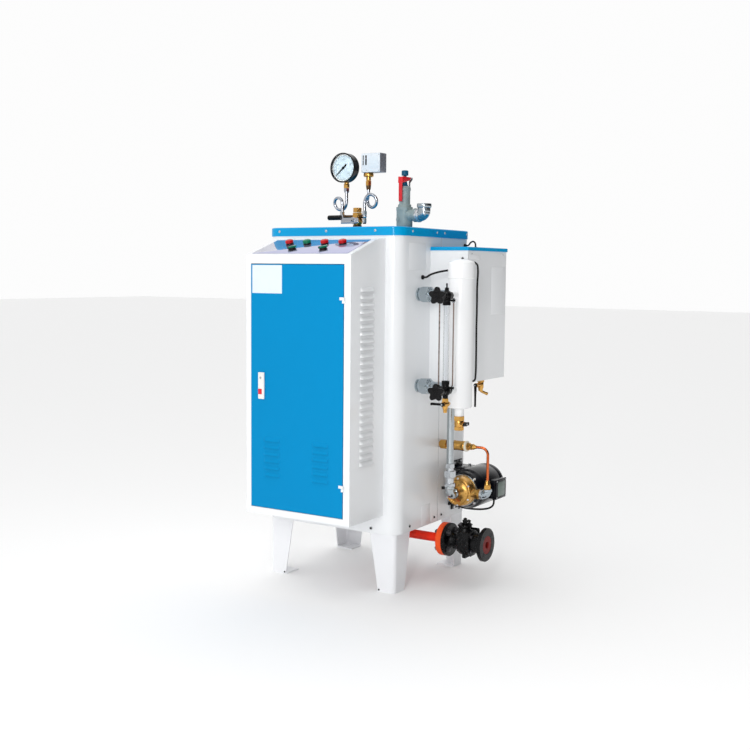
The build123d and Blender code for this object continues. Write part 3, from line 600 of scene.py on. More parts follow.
# --------------------------------------------------------- screws and seams
p = Piece()
for s in (-1, 1):
    p.box((285.0 if s > 0 else -285.45, 28.6, 213.6), (285.45 if s > 0 else -285.0, 30.0, 1265), 0, 1)
    p.box((285.0 if s > 0 else -285.7, 30.0, 213.6), (285.7 if s > 0 else -285.0, 34.0, 1265), 0.2, 0)
p.done("casing_seams", [WHITE, SEAM])

# lid screws: their cross recesses in painted shade
p = Piece()
for x in (-225.5, -18.0, 188.9):
    p.screw((x, -272.4, 1282), (0, -1, 0), 3.4, 2.0, 0, 4.6, 0, 1)
    p.screw((x, 272.4, 1282), (0, 1, 0), 3.4, 2.0, 0, 4.6, 0, 1)
for y in (-182.8, -7.5, 49.0, 223.0):
    p.screw((288, y, 1281.5), (1, 0, 0), 3.4, 2.0, 0, 4.6, 0, 1)
    p.screw((-285.6, y, 1281.5), (-1, 0, 0), 3.4, 2.0, 0, 4.6, 0, 1)
p.done("lid_screws", [ZINC, OPENING_SHADE])

# casing screws: their cross recesses in painted shade
p = Piece()
for x in (-180.8, 180.8):
    p.screw((x, -269.4, 229.0), (0, -1, 0), 4.4, 2.8, 0, 7.0, 1, 2)
    p.screw((x, 269.4, 229.0), (0, 1, 0), 4.4, 2.8, 0, 7.0, 1, 2)
for y in (-176.0, 3.9, 57.8, 200.0):
    p.screw((285, y, 231.5), (1, 0, 0), 4.2, 2.8, 0, 6.6, 1, 2)
    p.screw((-284.4, y, 231.5), (-1, 0, 0), 4.2, 2.8, 0, 6.6, 1, 2)
for x in (-209.8, 209.8):
    p.screw((x, -258.8, 7.0), (0, -1, 0), 3.6, 2.2, 0, 0, 1, 2)
    p.screw((x, 258.8, 7.0), (0, 1, 0), 3.6, 2.2, 0, 0, 1, 2)
p.screw((415.2, -49, 1188.5), (0, -1, 0), 4.2, 2.4, 0, 6.4, 1, 2)
for y in (-20.0, 232.0):
    p.screw((436, y, 1206.0), (1, 0, 0), 3.2, 2.0, 1, 0, 1, 2)
p.done("casing_screws", [BLACKGL, ZINC, OPENING_SHADE])


# ------------------------------------------------------------------ louvres
def louvre(piece, o, ud, nd, length, height, proud, mat, dark):
    """Pressed hood, closed above and at its ends; below, the opening is closed by faces in painted shade."""
    o, u, nrm = Vector(o), Vector(ud).normalized(), Vector(nd).normalized()
    down = Vector((0, 0, -1))
    b = bmesh.new()
    nu, nv = 22, 7
    rows = []
    for j in range(nv + 1):
        v = j / nv
        row = []
        for i in range(nu + 1):
            t = -1 + 2 * i / nu
            t = math.copysign(1 - (1 - abs(t)) ** 1.35, t)
            a = max(0.0, (abs(t) - 0.72) / 0.28)
            e = math.sqrt(max(0.0, 1 - a * a))
            hgt = proud * e * math.sin(v * math.pi / 2) ** 1.15
            row.append(b.verts.new(o + u * (t * length / 2) + down * (v * height) + nrm * max(hgt, 0.02)))
        rows.append(row)
    for A, B in zip(rows, rows[1:]):
        for i in range(nu):
            b.faces.new((A[i], A[i + 1], B[i + 1], B[i]))
    for f in b.faces:
        f.material_index = mat
    # faces closing the opening under the hood, in the painted-shade material
    base = [b.verts.new(o + u * ((-1 + 2 * i / nu) * length / 2) + down * height - nrm * 0.1) for i in range(nu + 1)]
    under = []
    for i in range(nu):
        under.append(b.faces.new((rows[-1][i], rows[-1][i + 1], base[i + 1], base[i])))
    for f in b.faces:
        f.smooth = True
    bmesh.ops.recalc_face_normals(b, faces=b.faces[:])
    for f in b.faces:
        f.material_index = mat
    for f in under:
        f.material_index = dark
        f.smooth = False
    if rows[0][nu // 2].link_faces[0].normal.dot(nrm) < 0:
        bmesh.ops.reverse_faces(b, faces=b.faces[:])
    t = bpy.data.meshes.new("tmp")
    b.to_mesh(t)
    b.free()
    piece.bm.from_mesh(t)
    bpy.data.meshes.remove(t)


# side louvres: hoods in white, the openings below in painted shade
for side, x in ((1, 230.0), (-1, -210.0)):
    p = Piece()
    for k in range(25):
        z = 1073.0 - 24.75 * k
        louvre(p, (x, -383.0, z + 14.5), (0, 1, 0), (side, 0, 0), 84.0, 15.0, 7.5, 0, 1)
    p.done("side_louvres_right" if side > 0 else "side_louvres_left", [WHITE, OPENING_SHADE], angle=50)

# door louvres: hoods in door blue, the openings below in painted shade
p = Piece()
for x0, x1 in ((-131.0, -62.0), (76.5, 144.0)):
    for k in range(6):
        z = 545.0 - 24.7 * k
        louvre(p, ((x0 + x1) / 2, -487.0, z + 12.0), (1, 0, 0), (0, -1, 0), x1 - x0, 14.0, 4.6, 0, 1)
p.done("door_louvres", [DOORBLUE, OPENING_SHADE], "cabinet_door", angle=50)

# ------------------------------------------------------------ door fittings
p = Piece()
p.box((-152.5, -494.0, 691), (-126.5, -487.0, 785), 2.5, 0, 3)
p.box((-149.5, -494.8, 694), (-129.5, -493.6, 782), 0.5, 0, 2)
p.box((-150.0, -496.6, 708), (-134.5, -494.0, 727), 1.6, 1, 3)
p.rod((-140, -494.6, 766), (-140, -495.8, 766), 5.0, 2)
p.box((-140.6, -496.0, 762.8), (-139.4, -495.5, 769.2), 0, 3)
p.done("door_lock_body", [PLASTICW, RED, ZINC, OPENING_SHADE], "cabinet_door", ["door_lock"])

p = Piece()
p.box((-181.5, -487.5, 1061.5), (-53.0, -486.9, 1159.0), 0.2, 0)
p.done("door_blank_label", [PLATE], "cabinet_door")

p = Piece()
p.box((284.9, -203.0, 1146.5), (285.35, -84.0, 1241.0), 0.15, 0)
p.box((284.9, -94.0, 216.0), (285.35, -27.0, 290.0), 0.15, 0)
p.box((435.9, 141.0, 985.0), (436.35, 255.0, 1160.0), 0.15, 0)
p.box((435.9, -41.0, 1186.0), (436.35, 45.0, 1203.0), 0.15, 0)
p.done("side_blank_labels", [SIDEPLATE], "boiler")

# ------------------------------------------------------------ control panel
SL = math.atan2(1249.4 - 1195.7, 485.4 - 325.0)
SN = Vector((0, -math.sin(SL), math.cos(SL)))


def slope(x, y, h=0.0):
    return Vector((x, y, 1195.7 + (y + 485.4) * math.tan(SL))) + SN * h


# control plate, coloured with the painted reflection of blue surroundings
p = Piece()
lo, hi = slope(0, -477.0), slope(0, -328.0)
span = (hi - lo).length
pts = []
w0, w1, rr = -192.0, 210.0, 5.0
for cx, cy, a0 in ((w1 - rr, rr, -90), (w1 - rr, span - rr, 0), (w0 + rr, span - rr, 90), (w0 + rr, rr, 180)):
    for k in range(5):
        a = math.radians(a0 + 22.5 * k)
        pts.append((cx + rr * math.cos(a), cy + rr * math.sin(a)))
p.prism(pts, slope(0, -477.0, 0.0), (1, 0, 0), SN, 0.8, 0.15, 0)
p.done("control_plate", [PANEL_REFLECTION_TINT], "boiler")

p = Piece()
for i, x in enumerate((-104.0, -28.0, 47.0, 122.0)):
    o = slope(x, -373.0)
    p.spin([(0, 0), (14.5, 0), (14.5, 1.6), (13.4, 2.2), (13.4, 5.6), (0, 5.6)], o, SN, 0, 48)

    def flute(t, r, h):
        return r * (1 + 0.012 * math.cos(24 * t)) if 6.2 < h < 12.4 else r
    p.spin([(0, 5.6), (13.6, 5.6), (14.3, 6.2), (14.3, 12.2), (13.6, 13.8), (12.0, 15.2), (9.5, 16.3), (5.5, 16.9),
            (0, 17.0)], o, SN, 2 if i == 1 else 1, 96, shape=flute)
for x in (-45.0, 86.0):
    o = slope(x, -438.0)
    p.spin([(0, 0), (15.0, 0), (15.0, 1.6), (14.4, 2.2), (14.0, 4.4), (13.4, 5.0), (0, 5.0)], o, SN, 0, 48)
p.done("panel_lamps", [BLACKGL, REDLENS, GREENLENS], "boiler", ["panel_fittings"])

for nm, x, body in (("left", -45.0, "left_selector"), ("right", 86.0, "right_selector")):
    p = Piece()
    o = slope(x, -438.0)
    p.spin([(0, 5.3), (12.3, 5.3), (12.5, 5.8), (12.3, 7.6), (11.4, 8.8), (9.0, 9.4), (0, 9.4)], o, SN, 2, 56)
    xd = Vector((1, 0, 0)) - SN.cross(Vector((1, 0, 0))).normalized()
    bar = [(-5, -15), (-4, -16), (4, -16), (5, -15), (4.4, 0), (5, 15), (3.6, 16), (-3.6, 16), (-5, 15), (-4.4, 0)]
    p.prism(bar, o + SN * 8.4, xd, SN, 6.1, 1.2, 0, 3)
    tip = [(-4.9, -16.0), (4.9, -16.0), (4.7, -9.5), (-4.7, -9.5)]
    p.prism(tip, o + SN * 8.2, xd, SN, 6.4, 1.0, 2, 3)
    p.prism([(-0.7, 4), (0.7, 4), (0.7, 15), (-0.7, 15)], o + SN * 14.4, xd, SN, 0.2, 0, 1)
    p.done("selector_handle_" + nm, [GREENKNOB, PLASTICW, BLACK], body, ["selector_knob_" + nm])

# -------------------------------------------------------------- top: gauge
gx, gy, gz = -115.0, 3.0, 1529.4
G = (gx, gy - 32, gz)
p = Piece()
p.spin([(0, 12.0), (50.6, 12.0), (50.6, 4.0), (51.0, 0.9), (52.4, 0), (54.6, 0.3), (55.9, 2.0), (56.0, 6.4),
        (55.2, 7.2), (54.6, 8.0), (54.6, 30), (55.2, 31.5), (55.2, 34.5), (53.0, 37.5), (45.0, 39.6), (0, 40.0)],
       G, (0, 1, 0), 0, 96)
p.done("gauge_case", [BLACKGL], "boiler", ["pressure_gauge"])
p = Piece()
p.spin([(0, 11.9), (50.5, 11.9), (50.5, 10.8), (48.6, 10.6), (0, 10.6)], G, (0, 1, 0), 0, 72)
p.spin([(47.4, 10.62), (50.3, 10.62), (50.3, 10.35), (47.4, 10.35)], G, (0, 1, 0), 1, 96, ring=True)
p.done("gauge_dial", [DIAL, PLASTICW], "boiler")


def dial_pt(a, r, d):
    return Vector((gx + r * math.cos(a), gy - 32 + d, gz + r * math.sin(a)))


p = Piece()
for k in range(41):
    a = math.radians(225 - 270 * k / 40)
    major = k % 5 == 0
    r0, r1, hw = (38.5, 45.5, 0.55) if major else (42.0, 45.5, 0.28)
    rad = Vector((math.cos(a), 0, math.sin(a)))
    tan = Vector((-math.sin(a), 0, math.cos(a)))
    c = dial_pt(a, 0, 10.6)
    b = bmesh.new()
    vs = []
    for dd in (0.0, -0.12):
        for rr_, ss in ((r0, -hw), (r1, -hw), (r1, hw), (r0, hw)):
            vs.append(b.verts.new(Vector((gx, gy - 32 + 10.6 + dd, gz)) + rad * rr_ + tan * ss))
    b.faces.new(vs[4:])
    b.faces.new(vs[:4])
    for i in range(4):
        b.faces.new((vs[i], vs[(i + 1) % 4], vs[4 + (i + 1) % 4], vs[4 + i]))
    p.take(b, 0)
p.spin([(46.6, 10.6), (47.0, 10.6), (47.0, 10.48), (46.6, 10.48)], G, (0, 1, 0), 0, 96, ring=True)


def dial_text(piece, text, x, z, size, mat):
    cu = bpy.data.curves.new("t", "FONT")
    cu.body = text
    cu.size = size
    cu.align_x = "CENTER"
    cu.align_y = "CENTER"
    cu.extrude = 0.05
    ob = bpy.data.objects.new("t", cu)
    bpy.context.scene.collection.objects.link(ob)
    dg = bpy.context.evaluated_depsgraph_get()
    dg.update()
    me = bpy.data.meshes.new_from_object(ob.evaluated_get(dg))
    b = bmesh.new()
    b.from_mesh(me)
    T = Matrix.Translation((x, gy - 32 + 10.55, z)) @ Matrix.Rotation(math.radians(90), 4, "X")
    bmesh.ops.transform(b, matrix=T, verts=b.verts[:])
    bpy.data.objects.remove(ob)
    bpy.data.curves.remove(cu)
    bpy.data.meshes.remove(me)
    for f in b.faces:
        f.material_index = mat
    t = bpy.data.meshes.new("tmp")
    b.to_mesh(t)
    b.free()
    piece.bm.from_mesh(t)
    bpy.data.meshes.remove(t)


for k, s in enumerate(("0", "0.4", "0.8", "1.2", "1.6")):
    a = math.radians(225 - 270 * k / 4)
    dial_text(p, s, gx + 30.5 * math.cos(a), gz + 30.5 * math.sin(a), 8.5, 0)
p.done("gauge_marks", [DIALINK], "boiler", angle=20)

p = Piece()
na = math.radians(221.0)
nd = Vector((math.cos(na), 0, math.sin(na)))
pts = [(-18, -3.8), (-18, 3.8), (-4, 2.4), (0, 3.0), (43, 1.1), (43, -1.1), (0, -3.0), (-4, -2.4)]
p.prism(pts, Vector((gx, gy - 32 + 8.2, gz)), nd, (0, -1, 0), 0.9, 0.15, 0)
p.rod((gx, gy - 32 + 10.4, gz), (gx, gy - 32 + 6.0, gz), 5.0, 0, 32)
p.done("gauge_needle", [BLACK], "boiler")
p = Piece()
p.spin([(0, 3.4), (50.5, 3.4), (50.5, 4.6), (0, 4.6)], G, (0, 1, 0), 0, 72)
gw = p.done("gauge_window", [WINDOW], "boiler")
gw.visible_shadow = False
p = Piece()
p.box((gx - 8, gy - 8, 1454), (gx + 8, gy + 8, 1471), 1.0, 0)
p.rod((gx, gy, 1470), (gx, gy, 1480), 9, 0)
p.hexa((gx, gy, 1441), (gx, gy, 1454.5), 20, 1)
p.rod((gx, gy, 1437), (gx, gy, 1442), 8.6, 1)
p.done("gauge_stem", [BRASS, STEEL], "boiler")

# --------------------------------------------------- top: pressure controller
p = Piece()
p.box((-38.5, -14, 1508.6), (44.5, 32, 1580), 2.2, 1, 3)
p.box((-38.0, -15.0, 1509.2), (44.0, -12.0, 1579.4), 1.4, 0, 3)
# dark slot bars, the dark disc on the back and the screw recesses: painted shade in the openings
for x0, x1 in ((-31.5, -27.0), (-20.5, -13.5)):
    p.box((x0, -15.2, 1536), (x1, -14.4, 1572), 0.3, 2)
p.box((-30.2, -15.7, 1552), (-28.3, -15.0, 1555), 0.2, 3)
p.box((-19.6, -15.7, 1560), (-14.4, -15.0, 1562), 0.2, 3)
for x, z in ((-33.5, 1514.5), (39.5, 1574.0), (39.5, 1514.5), (-14, 1516.5)):
    p.screw((x, -15.0, z), (0, -1, 0), 2.1, 1.0, 3, slot=2)
p.box((-4, -15.25, 1524), (38, -14.9, 1568), 0.1, 4)
for x in (-26, -6):
    p.screw((x, 8, 1580), (0, 0, 1), 4.0, 2.0, 3, slot=2)
p.rod((32, 31, 1520), (32, 32.8, 1520), 8, 2)
p.done("controller_box", [SWITCH, SWITCHG, OPENING_SHADE, ZINC, PLATE], "boiler", ["pressure_controller"])
p = Piece()
p.spin([(0, 1493), (16.0, 1493), (18.5, 1495), (19.0, 1498), (19.0, 1504), (17.0, 1508.6), (0, 1508.6)], (-18, 6, 0),
       (0, 0, 1), 0, 56)
p.rod((-18, 6, 1484), (-18, 6, 1494), 9, 0)
p.spin([(0, 1478), (8.4, 1478), (9.2, 1482), (9.2, 1487), (0, 1487)], (-18, 6, 0), (0, 0, 1), 0, 40)
p.hexa((-18, 6, 1461), (-18, 6, 1479), 20, 0)
p.spin([(0, 1446), (7.6, 1446), (8.2, 1449), (9.4, 1457), (9.4, 1461.5), (0, 1461.5)], (-18, 6, 0), (0, 0, 1), 1, 40)
p.done("controller_fitting", [BRASS, DARKBRASS], "boiler")

# ------------------------------------------------------- top: steam valve
x = -63.0
p = Piece()
p.spin([(0, 1296.2), (15, 1296.2), (15, 1300), (0, 1300)], (x, 0, 0), (0, 0, 1), 4, 40)
p.hexa((x, 0, 1298), (x, 0, 1314), 33, 4)
p.spin([(0, 1313), (14, 1313), (14.5, 1316), (18.2, 1319), (19.2, 1325), (19.4, 1331), (18.8, 1337), (17.0, 1340),
        (15.2, 1341.5), (0, 1341.5)], (x, 0, 0), (0, 0, 1), 0, 56)
p.hexa((x, 0, 1341), (x, 0, 1360), 34, 0)
p.spin([(0, 1359), (14.8, 1359), (14.8, 1363), (0, 1363)], (x, 0, 0), (0, 0, 1), 3, 48)
p.hexa((x, 0, 1362), (x, 0, 1379), 31, 0, hole=10.5)
# dark disc in the bore of the top hex: painted shade inside the outlet
p.spin([(0, 1361), (10.4, 1361), (10.4, 1362.4), (0, 1362.4)], (x, 0, 0), (0, 0, 1), 1, 40)
for k in range(6):
    p.spin([(10.55, 1378 - 2.4 * k), (9.9, 1376.8 - 2.4 * k), (10.55, 1375.6 - 2.4 * k)], (x, 0, 0), (0, 0, 1), 4, 36,
           ring=True)
p.rod((x, -10, 1330), (x, -22, 1330), 10.5, 0)
p.hexa((x, -20, 1330), (x, -28, 1330), 17, 0)
p.rod((x, -28, 1330), (x, -38, 1330), 4, 2)
p.hexa((x, -35.3, 1330), (x, -38, 1330), 10, 2)
for ex in (-126.0, -25.0):
    e = Vector((ex, -9, 1346))
    c = Vector((x, 0, 1346))
    d = (e - c).normalized()
    p.rod(c, e - d * 8, 6.4, 4)
    p.hexa(e - d * 15, e - d * 7, 14, 4)
    p.ball(e, 8.6, 2 if ex > -60 else 4)
    p.hexa(e + Vector((0, 0, 6)), e + Vector((0, 0, 19.6)), 17, 2)
    p.rod(e + Vector((0, 0, 4)), e + Vector((0, 0, 7)), 7, 2)
# black stub under the satin hex: painted shade standing in for the shaded lower part of this silver fitting
p.hexa((-25, -9, 1322), (-25, -9, 1338), 15, 2)
p.rod((-25, -9, 1318), (-25, -9, 1342), 6.2, 5)
p.done("steam_valve_body", [BRASS, OPENING_SHADE, SATIN, CREAM, DARKBRASS, BLACK], "boiler", ["steam_valve"])

p = Piece()
p.spin([(4.1, 28.3), (12.4, 28.3), (13, 29), (13, 32.4), (12.2, 33.0), (8.5, 33.2), (8.5, 35.0), (4.1, 35.0)],
       (x, 0, 1330), (0, -1, 0), 0, 40, ring=True)
arm = [(-117, -11.5), (x + 20, -11), (x + 25, -6), (x + 25, 6), (x + 20, 10.5), (-106, 10.5), (-108, 21), (-110, 23),
       (-117, 23)]
p.prism([(u - x, v) for u, v in arm], Vector((x, -29.0, 1330)), (1, 0, 0), (0, -1, 0), 4.0, 1.0, 0, 3)
p.prism([(u - x, v) for u, v in [(-112, -8.6), (x - 14, -8.6), (x - 14, -5.4), (-112, -5.4)]], Vector((x, -32.9, 1330)),
        (1, 0, 0), (0, -1, 0), 0.9, 0.4, 0, 2)
n = 30
p.tube([(-114 - k * 61.0 / n, -31, 1342) for k in range(n + 1)],
       [8.4, 9.2] + [9.45, 9.2][0:1] * 1 + [9.45 - 0.35 * (k % 3 == 1) for k in range(n - 4)] + [9.2, 7.6], 1, 32)
p.done("steam_valve_handle", [STEEL, BLACK], "steam_lever", ["steam_valve_lever"])

# -------------------------------------------------------- top: safety valve
x = 144.6
p = Piece()
p.hexa((x, 0, 1296.2), (x, 0, 1304), 46, 0)


def octo(t, r, h):
    a = ((t) % (math.pi / 4)) - math.pi / 8
    return min(r, 29.6 / math.cos(a)) if 1362 < h < 1380 else r


p.spin([(0, 1302), (27, 1302), (29.4, 1306), (29.8, 1312), (29.8, 1340), (29.8, 1364), (31.2, 1365), (31.5, 1367),
        (31.5, 1375), (30.6, 1377), (24.6, 1377.6), (24.6, 1385), (23.6, 1386.6), (21.0, 1387), (20.4, 1389), (20.2, 1434),
        (20.8, 1437),
        (22.2, 1438), (22.2, 1446), (21.0, 1448), (20.2, 1453), (0, 1453)], (x, 0, 0), (0, 0, 1), 0, 64, shape=octo)
p.spin([(0, 0), (9, 0), (9, 1.0), (7.4, 1.4), (7.0, 0.8), (0, 0.8)], (x - 13, -27.4, 1331), (-0.44, -0.9, 0), 0, 36)
p.rod((x, 0, 1452), (x, 0, 1465.8), 9.6, 4)
p.hexa((x, 0, 1453), (x, 0, 1459), 23, 4)
p.spin([(0, 14), (24.0, 14), (24.0, 27), (21.4, 30), (20.6, 34), (20.6, 42), (24.6, 43), (25.4, 44), (25.4, 50), (24.6, 52), (0, 52)],
       (x, 0, 1347), (1, 0, 0), 0, 56)
for s in (-1, 1):
    ear = [(9, 1441), (17, 1441), (18, 1466), (30, 1475), (34.5, 1479), (34.5, 1484), (31, 1487), (27, 1487), (23, 1482), (11, 1472), (9, 1466)]
    p.prism([(y_, z_) for y_, z_ in ear], Vector((x + s * 12 - 1.2, 0, 0)), (0, 1, 0), (1, 0, 0), 2.4, 0.5, 3)
p.rod((x - 14, 30, 1482), (x + 14, 30, 1482), 2.5, 3, 20)
p.done("safety_valve_body", [GREYCAST, SATCAST, RED, SATIN, TEAL], "boiler", ["safety_valve"])

p = Piece()
p.rod((x, 0, 1466.3), (x, 0, 1493), 6.0, 0, 32)
p.rod((x, 0, 1466.3), (x, 0, 1470), 8.4, 0, 32)
p.spin([(0, 1478), (9.5, 1478), (10, 1479), (10, 1484), (9, 1485), (0, 1485)], (x, 0, 0), (0, 0, 1), 0, 32)
p.spin([(0, 1492), (11.6, 1492), (12.5, 1493.4), (12.5, 1507.5), (11.4, 1510), (8, 1511), (0, 1511)], (x, 0, 0),
       (0, 0, 1), 0, 44, shape=lambda t, r, h: r * (1 + 0.02 * math.cos(20 * t)) if 1493 < h < 1508 else r)
p.done("safety_spindle_cap", [TEAL], "relief_spindle", ["safety_valve_spindle"])

p = Piece()
prof = [(-33, 1397), (-28.6, 1396), (-28, 1400), (-28, 1476), (-26, 1479), (33.5, 1478.5), (36, 1481), (34.5, 1485),
        (26, 1486.4), (-30, 1486.4), (-33.4, 1484), (-33.6, 1470)]
p.prism([(y_, z_) for y_, z_ in [(-33, 1397), (-28.4, 1396.4), (-27.8, 1401), (-27.6, 1476), (-27.6, 1486), (-31, 1486.2),
                                 (-33.4, 1483), (-33.8, 1440)]], Vector((x - 7, 0, 0)), (0, 1, 0), (1, 0, 0), 14, 1.4, 0, 3)
for s in (-1, 1):
    p.prism([(y_, z_) for y_, z_ in [(-33, 1464), (-22, 1466), (10, 1473), (27, 1476.4), (33, 1477), (35.4, 1481.5),
                                     (33, 1486.6), (27, 1487.4), (22, 1487.2), (-31, 1487)]],
            Vector((x + s * 8.2 - 1.7, 0, 0)), (0, 1, 0), (1, 0, 0), 3.4, 0.6, 0, 2)
p.box((x - 9.5, -33.2, 1477), (x + 9.5, -28, 1486), 1.2, 0, 3)
p.done("safety_lever_arm", [RED], "relief_lever", ["safety_valve_lever"])

p = Piece()
p.thread((x + 50, 0, 1347), (x + 60, 0, 1347), 24.2, 2.3, 1, 1.3)
p.spin([(0, 58), (25.5, 58), (26.4, 59.5), (26.4, 66), (25, 68), (0, 68)], (x, 0, 1347), (1, 0, 0), 1, 48)
path = elbow_path((x + 64, 0, 1347), (228, 0, 1347), (228, 0, 1378), 17.0, 14)
p.tube(path, [23.2] * len(path), 0, 44)
p.spin([(16.6, 1352), (22.4, 1352), (22.4, 1372), (26.2, 1374), (27, 1376), (27, 1385.5), (26, 1388), (18.2, 1388),
        (16.6, 1386)], (228, 0, 0), (0, 0, 1), 0, 56, ring=True)
# dark disc closing the bore: painted shade inside the outlet
p.spin([(16.5, 1352.5), (0, 1352.5), (0, 1351), (16.5, 1351)], (228, 0, 0), (0, 0, 1), 2, 40, ring=False)
for k in range(5):
    p.spin([(16.7, 1384 - 4 * k), (15.9, 1382 - 4 * k), (16.7, 1380 - 4 * k)], (228, 0, 0), (0, 0, 1), 0, 40, ring=True)
p.done("relief_outlet_elbow", [GALVD, ZINC, OPENING_SHADE], "boiler", ["relief_elbow"])

# ------------------------------------------------------------------ column
p = Piece()
for z in (1061.0, 735.5):
    y = -130.0
    p.spin([(0, 0), (23, 0), (24, 1.2), (24, 5), (22.5, 6.4), (20, 7), (20, 11), (24.5, 12), (26.5, 14), (26.5, 23), (0, 23)],
           (285, y, z), (1, 0, 0), 0, 56)
    p.hexa((307, y, z), (333, y, z), 54, 0)
    p.spin([(0, 332), (25.5, 332), (25.5, 335.5), (24.5, 336.5), (0, 336.5)], (0, y, z), (1, 0, 0), 0, 56)
    p.spin([(0, 335), (22, 335), (22, 341), (18.5, 343), (17.2, 345), (17.2, 433), (0, 433)], (0, y, z), (1, 0, 0), 0, 44)
    p.thread((341, y, z), (352, y, z), 17.8, 2.3, 0, 0.9)
p.spin([(44.3, 1118), (46.9, 1119.2), (47.2, 1121.5), (46.7, 1123.5), (44.3, 1124)], (453, -128, 0), (0, 0, 1), 1, 72,
       ring=True)
p.done("column_union_fittings", [GALVD, WHITE3], "boiler", ["column_unions"])

p = Piece()
c = (453, -128, 0)
p.spin([(0, 636), (14.6, 636), (15, 637), (15, 664), (17, 667), (17, 668.4), (0, 668.4)], c, (0, 0, 1), 1, 40)
p.hexa((453, -128, 622), (453, -128, 638), 35, 0)
p.spin([(0, 622), (15.5, 622), (16.4, 619), (17.2, 611), (16.4, 604), (15.5, 600), (0, 600)], c, (0, 0, 1), 0, 44)
p.hexa((453, -128, 588), (453, -128, 601), 33, 0, hole=8)
# dark plug in the hex's bore: painted shade inside it
p.spin([(7.9, 588.6), (7.9, 600.5), (0, 600.5), (0, 600.2)], c, (0, 0, 1), 2, 30)
p.rod((466, -128, 611), (475, -128, 611), 8.6, 0)
p.hexa((470, -128, 611), (475, -128, 611), 14, 0)
p.rod((475, -128, 611), (485, -128, 611), 3, 3, 20)
p.done("column_drain_cock", [BRASS, WHITE3, OPENING_SHADE, SATIN], "boiler", ["column_drain_valve"])


def starwheel(name, z, body, node):
    p = Piece()
    n = 120
    pts = []
    for k in range(n):
        t = 2 * math.pi * k / n + math.pi / 2
        r = 26.2 + 4.9 * math.cos(5 * (t - math.pi / 2)) - 0.5 * math.cos(10 * (t - math.pi / 2))
        pts.append((r * math.cos(t), r * math.sin(t)))
    p.prism(pts, Vector((453, -294.0, z)), (1, 0, 0), (0, -1, 0), 11.0, 1.6, 0, 3)
    for i in range(5):
        a = math.radians(90 + 72 * i)
        p.spin([(0, 10.9), (7.2, 10.9), (7.4, 11.4), (6.0, 11.9), (4.6, 11.4), (0, 11.2)],
               (453 + 19.8 * math.cos(a), -294.0, z + 19.8 * math.sin(a)), (0, -1, 0), 1, 28)
    p.spin([(0, 10.5), (8.8, 10.5), (9.4, 11.2), (9.0, 12.0), (7.0, 12.6), (0, 12.8)], (453, -294.0, z), (0, -1, 0), 0, 36)
    p.hexa((453, -306.4, z), (453, -309.0, z), 9, 1)
    return p.done(name, [BLACKIRON, BLACK, SATIN], body, [node])


starwheel("star_wheel_upper", 1061.0, "upper_handwheel", "gauge_handwheel_upper")
starwheel("star_wheel_lower", 735.5, "lower_handwheel", "gauge_handwheel_lower")

# gauge valves: black bodies screwed into white sockets on the column
p = Piece()
for z, up_ in ((1061.0, 1), (735.5, -1)):
    x, y = 453.0, -232.0
    p.spin([(0, 0), (12.4, 0), (13, 0.8), (13, 35.6), (0, 35.6)], (x, -202, z), (0, 1, 0), 1, 44)
    p.hexa((x, -203.5, z), (x, -211, z), 22.6, 0)
    p.spin([(0, 20), (11.6, 20), (12.6, 16), (15.6, 11), (17.6, 5.5), (18, 0), (17.6, -5.5), (15.8, -10.5), (13.6, -14),
            (13.6, -22), (12.2, -23.4), (12.2, -30.6), (0, -30.6)], (x, y, z), (0, 1, 0), 0, 56)
    p.hexa((x, -262, z), (x, -277.4, z), 25.6, 0)
    p.spin([(0, 277), (9.4, 277), (9.0, 280), (7.8, 281), (7.8, 291), (0, 291)], (x, 0, z), (0, -1, 0), 0, 36)
    p.rod((x, -290, z), (x, -294.5, z), 6.0, 2, 28)
    p.rod((x, -294, z), (x, -308.8, z), 3.9, 0, 28)
    if up_ > 0:
        p.spin([(10.3, -23), (11.8, -23), (12.4, -20), (12.4, -6), (0, -6), (0, -19), (10.3, -19)], (x, y, z), (0, 0, 1),
               0, 44, ring=True)
        p.hexa((x, y, z - 32.8), (x, y, z - 22), 26.6, 0, hole=10.3)
        p.rod((x, y, z + 12), (x, y, z + 21), 7.4, 0, 32)
        p.hexa((x, y, z + 20), (x, y, z + 26.8), 13.6, 0)
        p.spin([(0, 26), (3.1, 26), (2.7, 30), (2.4, 33), (3.1, 35.5), (3.1, 40), (2.2, 41.6), (0, 42)], (x, y, z), (0, 0, 1), 0, 28)
    else:
        p.spin([(10.3, 23), (11.8, 23), (12.4, 20), (12.4, 6), (0, 6), (0, 19), (10.3, 19)], (x, y, z), (0, 0, 1), 0, 44,
               ring=True)
        p.hexa((x, y, z + 22), (x, y, z + 34.8), 26.6, 0, hole=10.3)
        p.rod((x, y, z - 26), (x, y, z - 12), 9.6, 0, 36)
    ze = z - 20 if up_ > 0 else z + 8
    for s_ in (-1, 1):
        ear = [(s_ * 9, -5.6), (s_ * 26, -5.8), (s_ * 30, -5), (s_ * 32.8, -2), (s_ * 32.8, 2), (s_ * 30, 5), (s_ * 26, 5.8),
               (s_ * 9, 5.6)]
        p.prism(ear if s_ > 0 else ear[::-1], Vector((x, y, ze + 0.4)), (1, 0, 0), (0, 0, 1), 7.2, 1.0, 0, 2)
        zn = ze + 7.6 if up_ > 0 else ze + 7.6
        p.hexa((x + s_ * 27, y, zn), (x + s_ * 27, y, zn + 4.6), 8.4, 2)
        p.hexa((x + s_ * 27, y, ze - 3.6), (x + s_ * 27, y, ze + 0.6), 8.4, 2)
p.done("gauge_valve_bodies", [BLACKIRON, WHITE3, SATIN], "boiler", ["gauge_valves"])

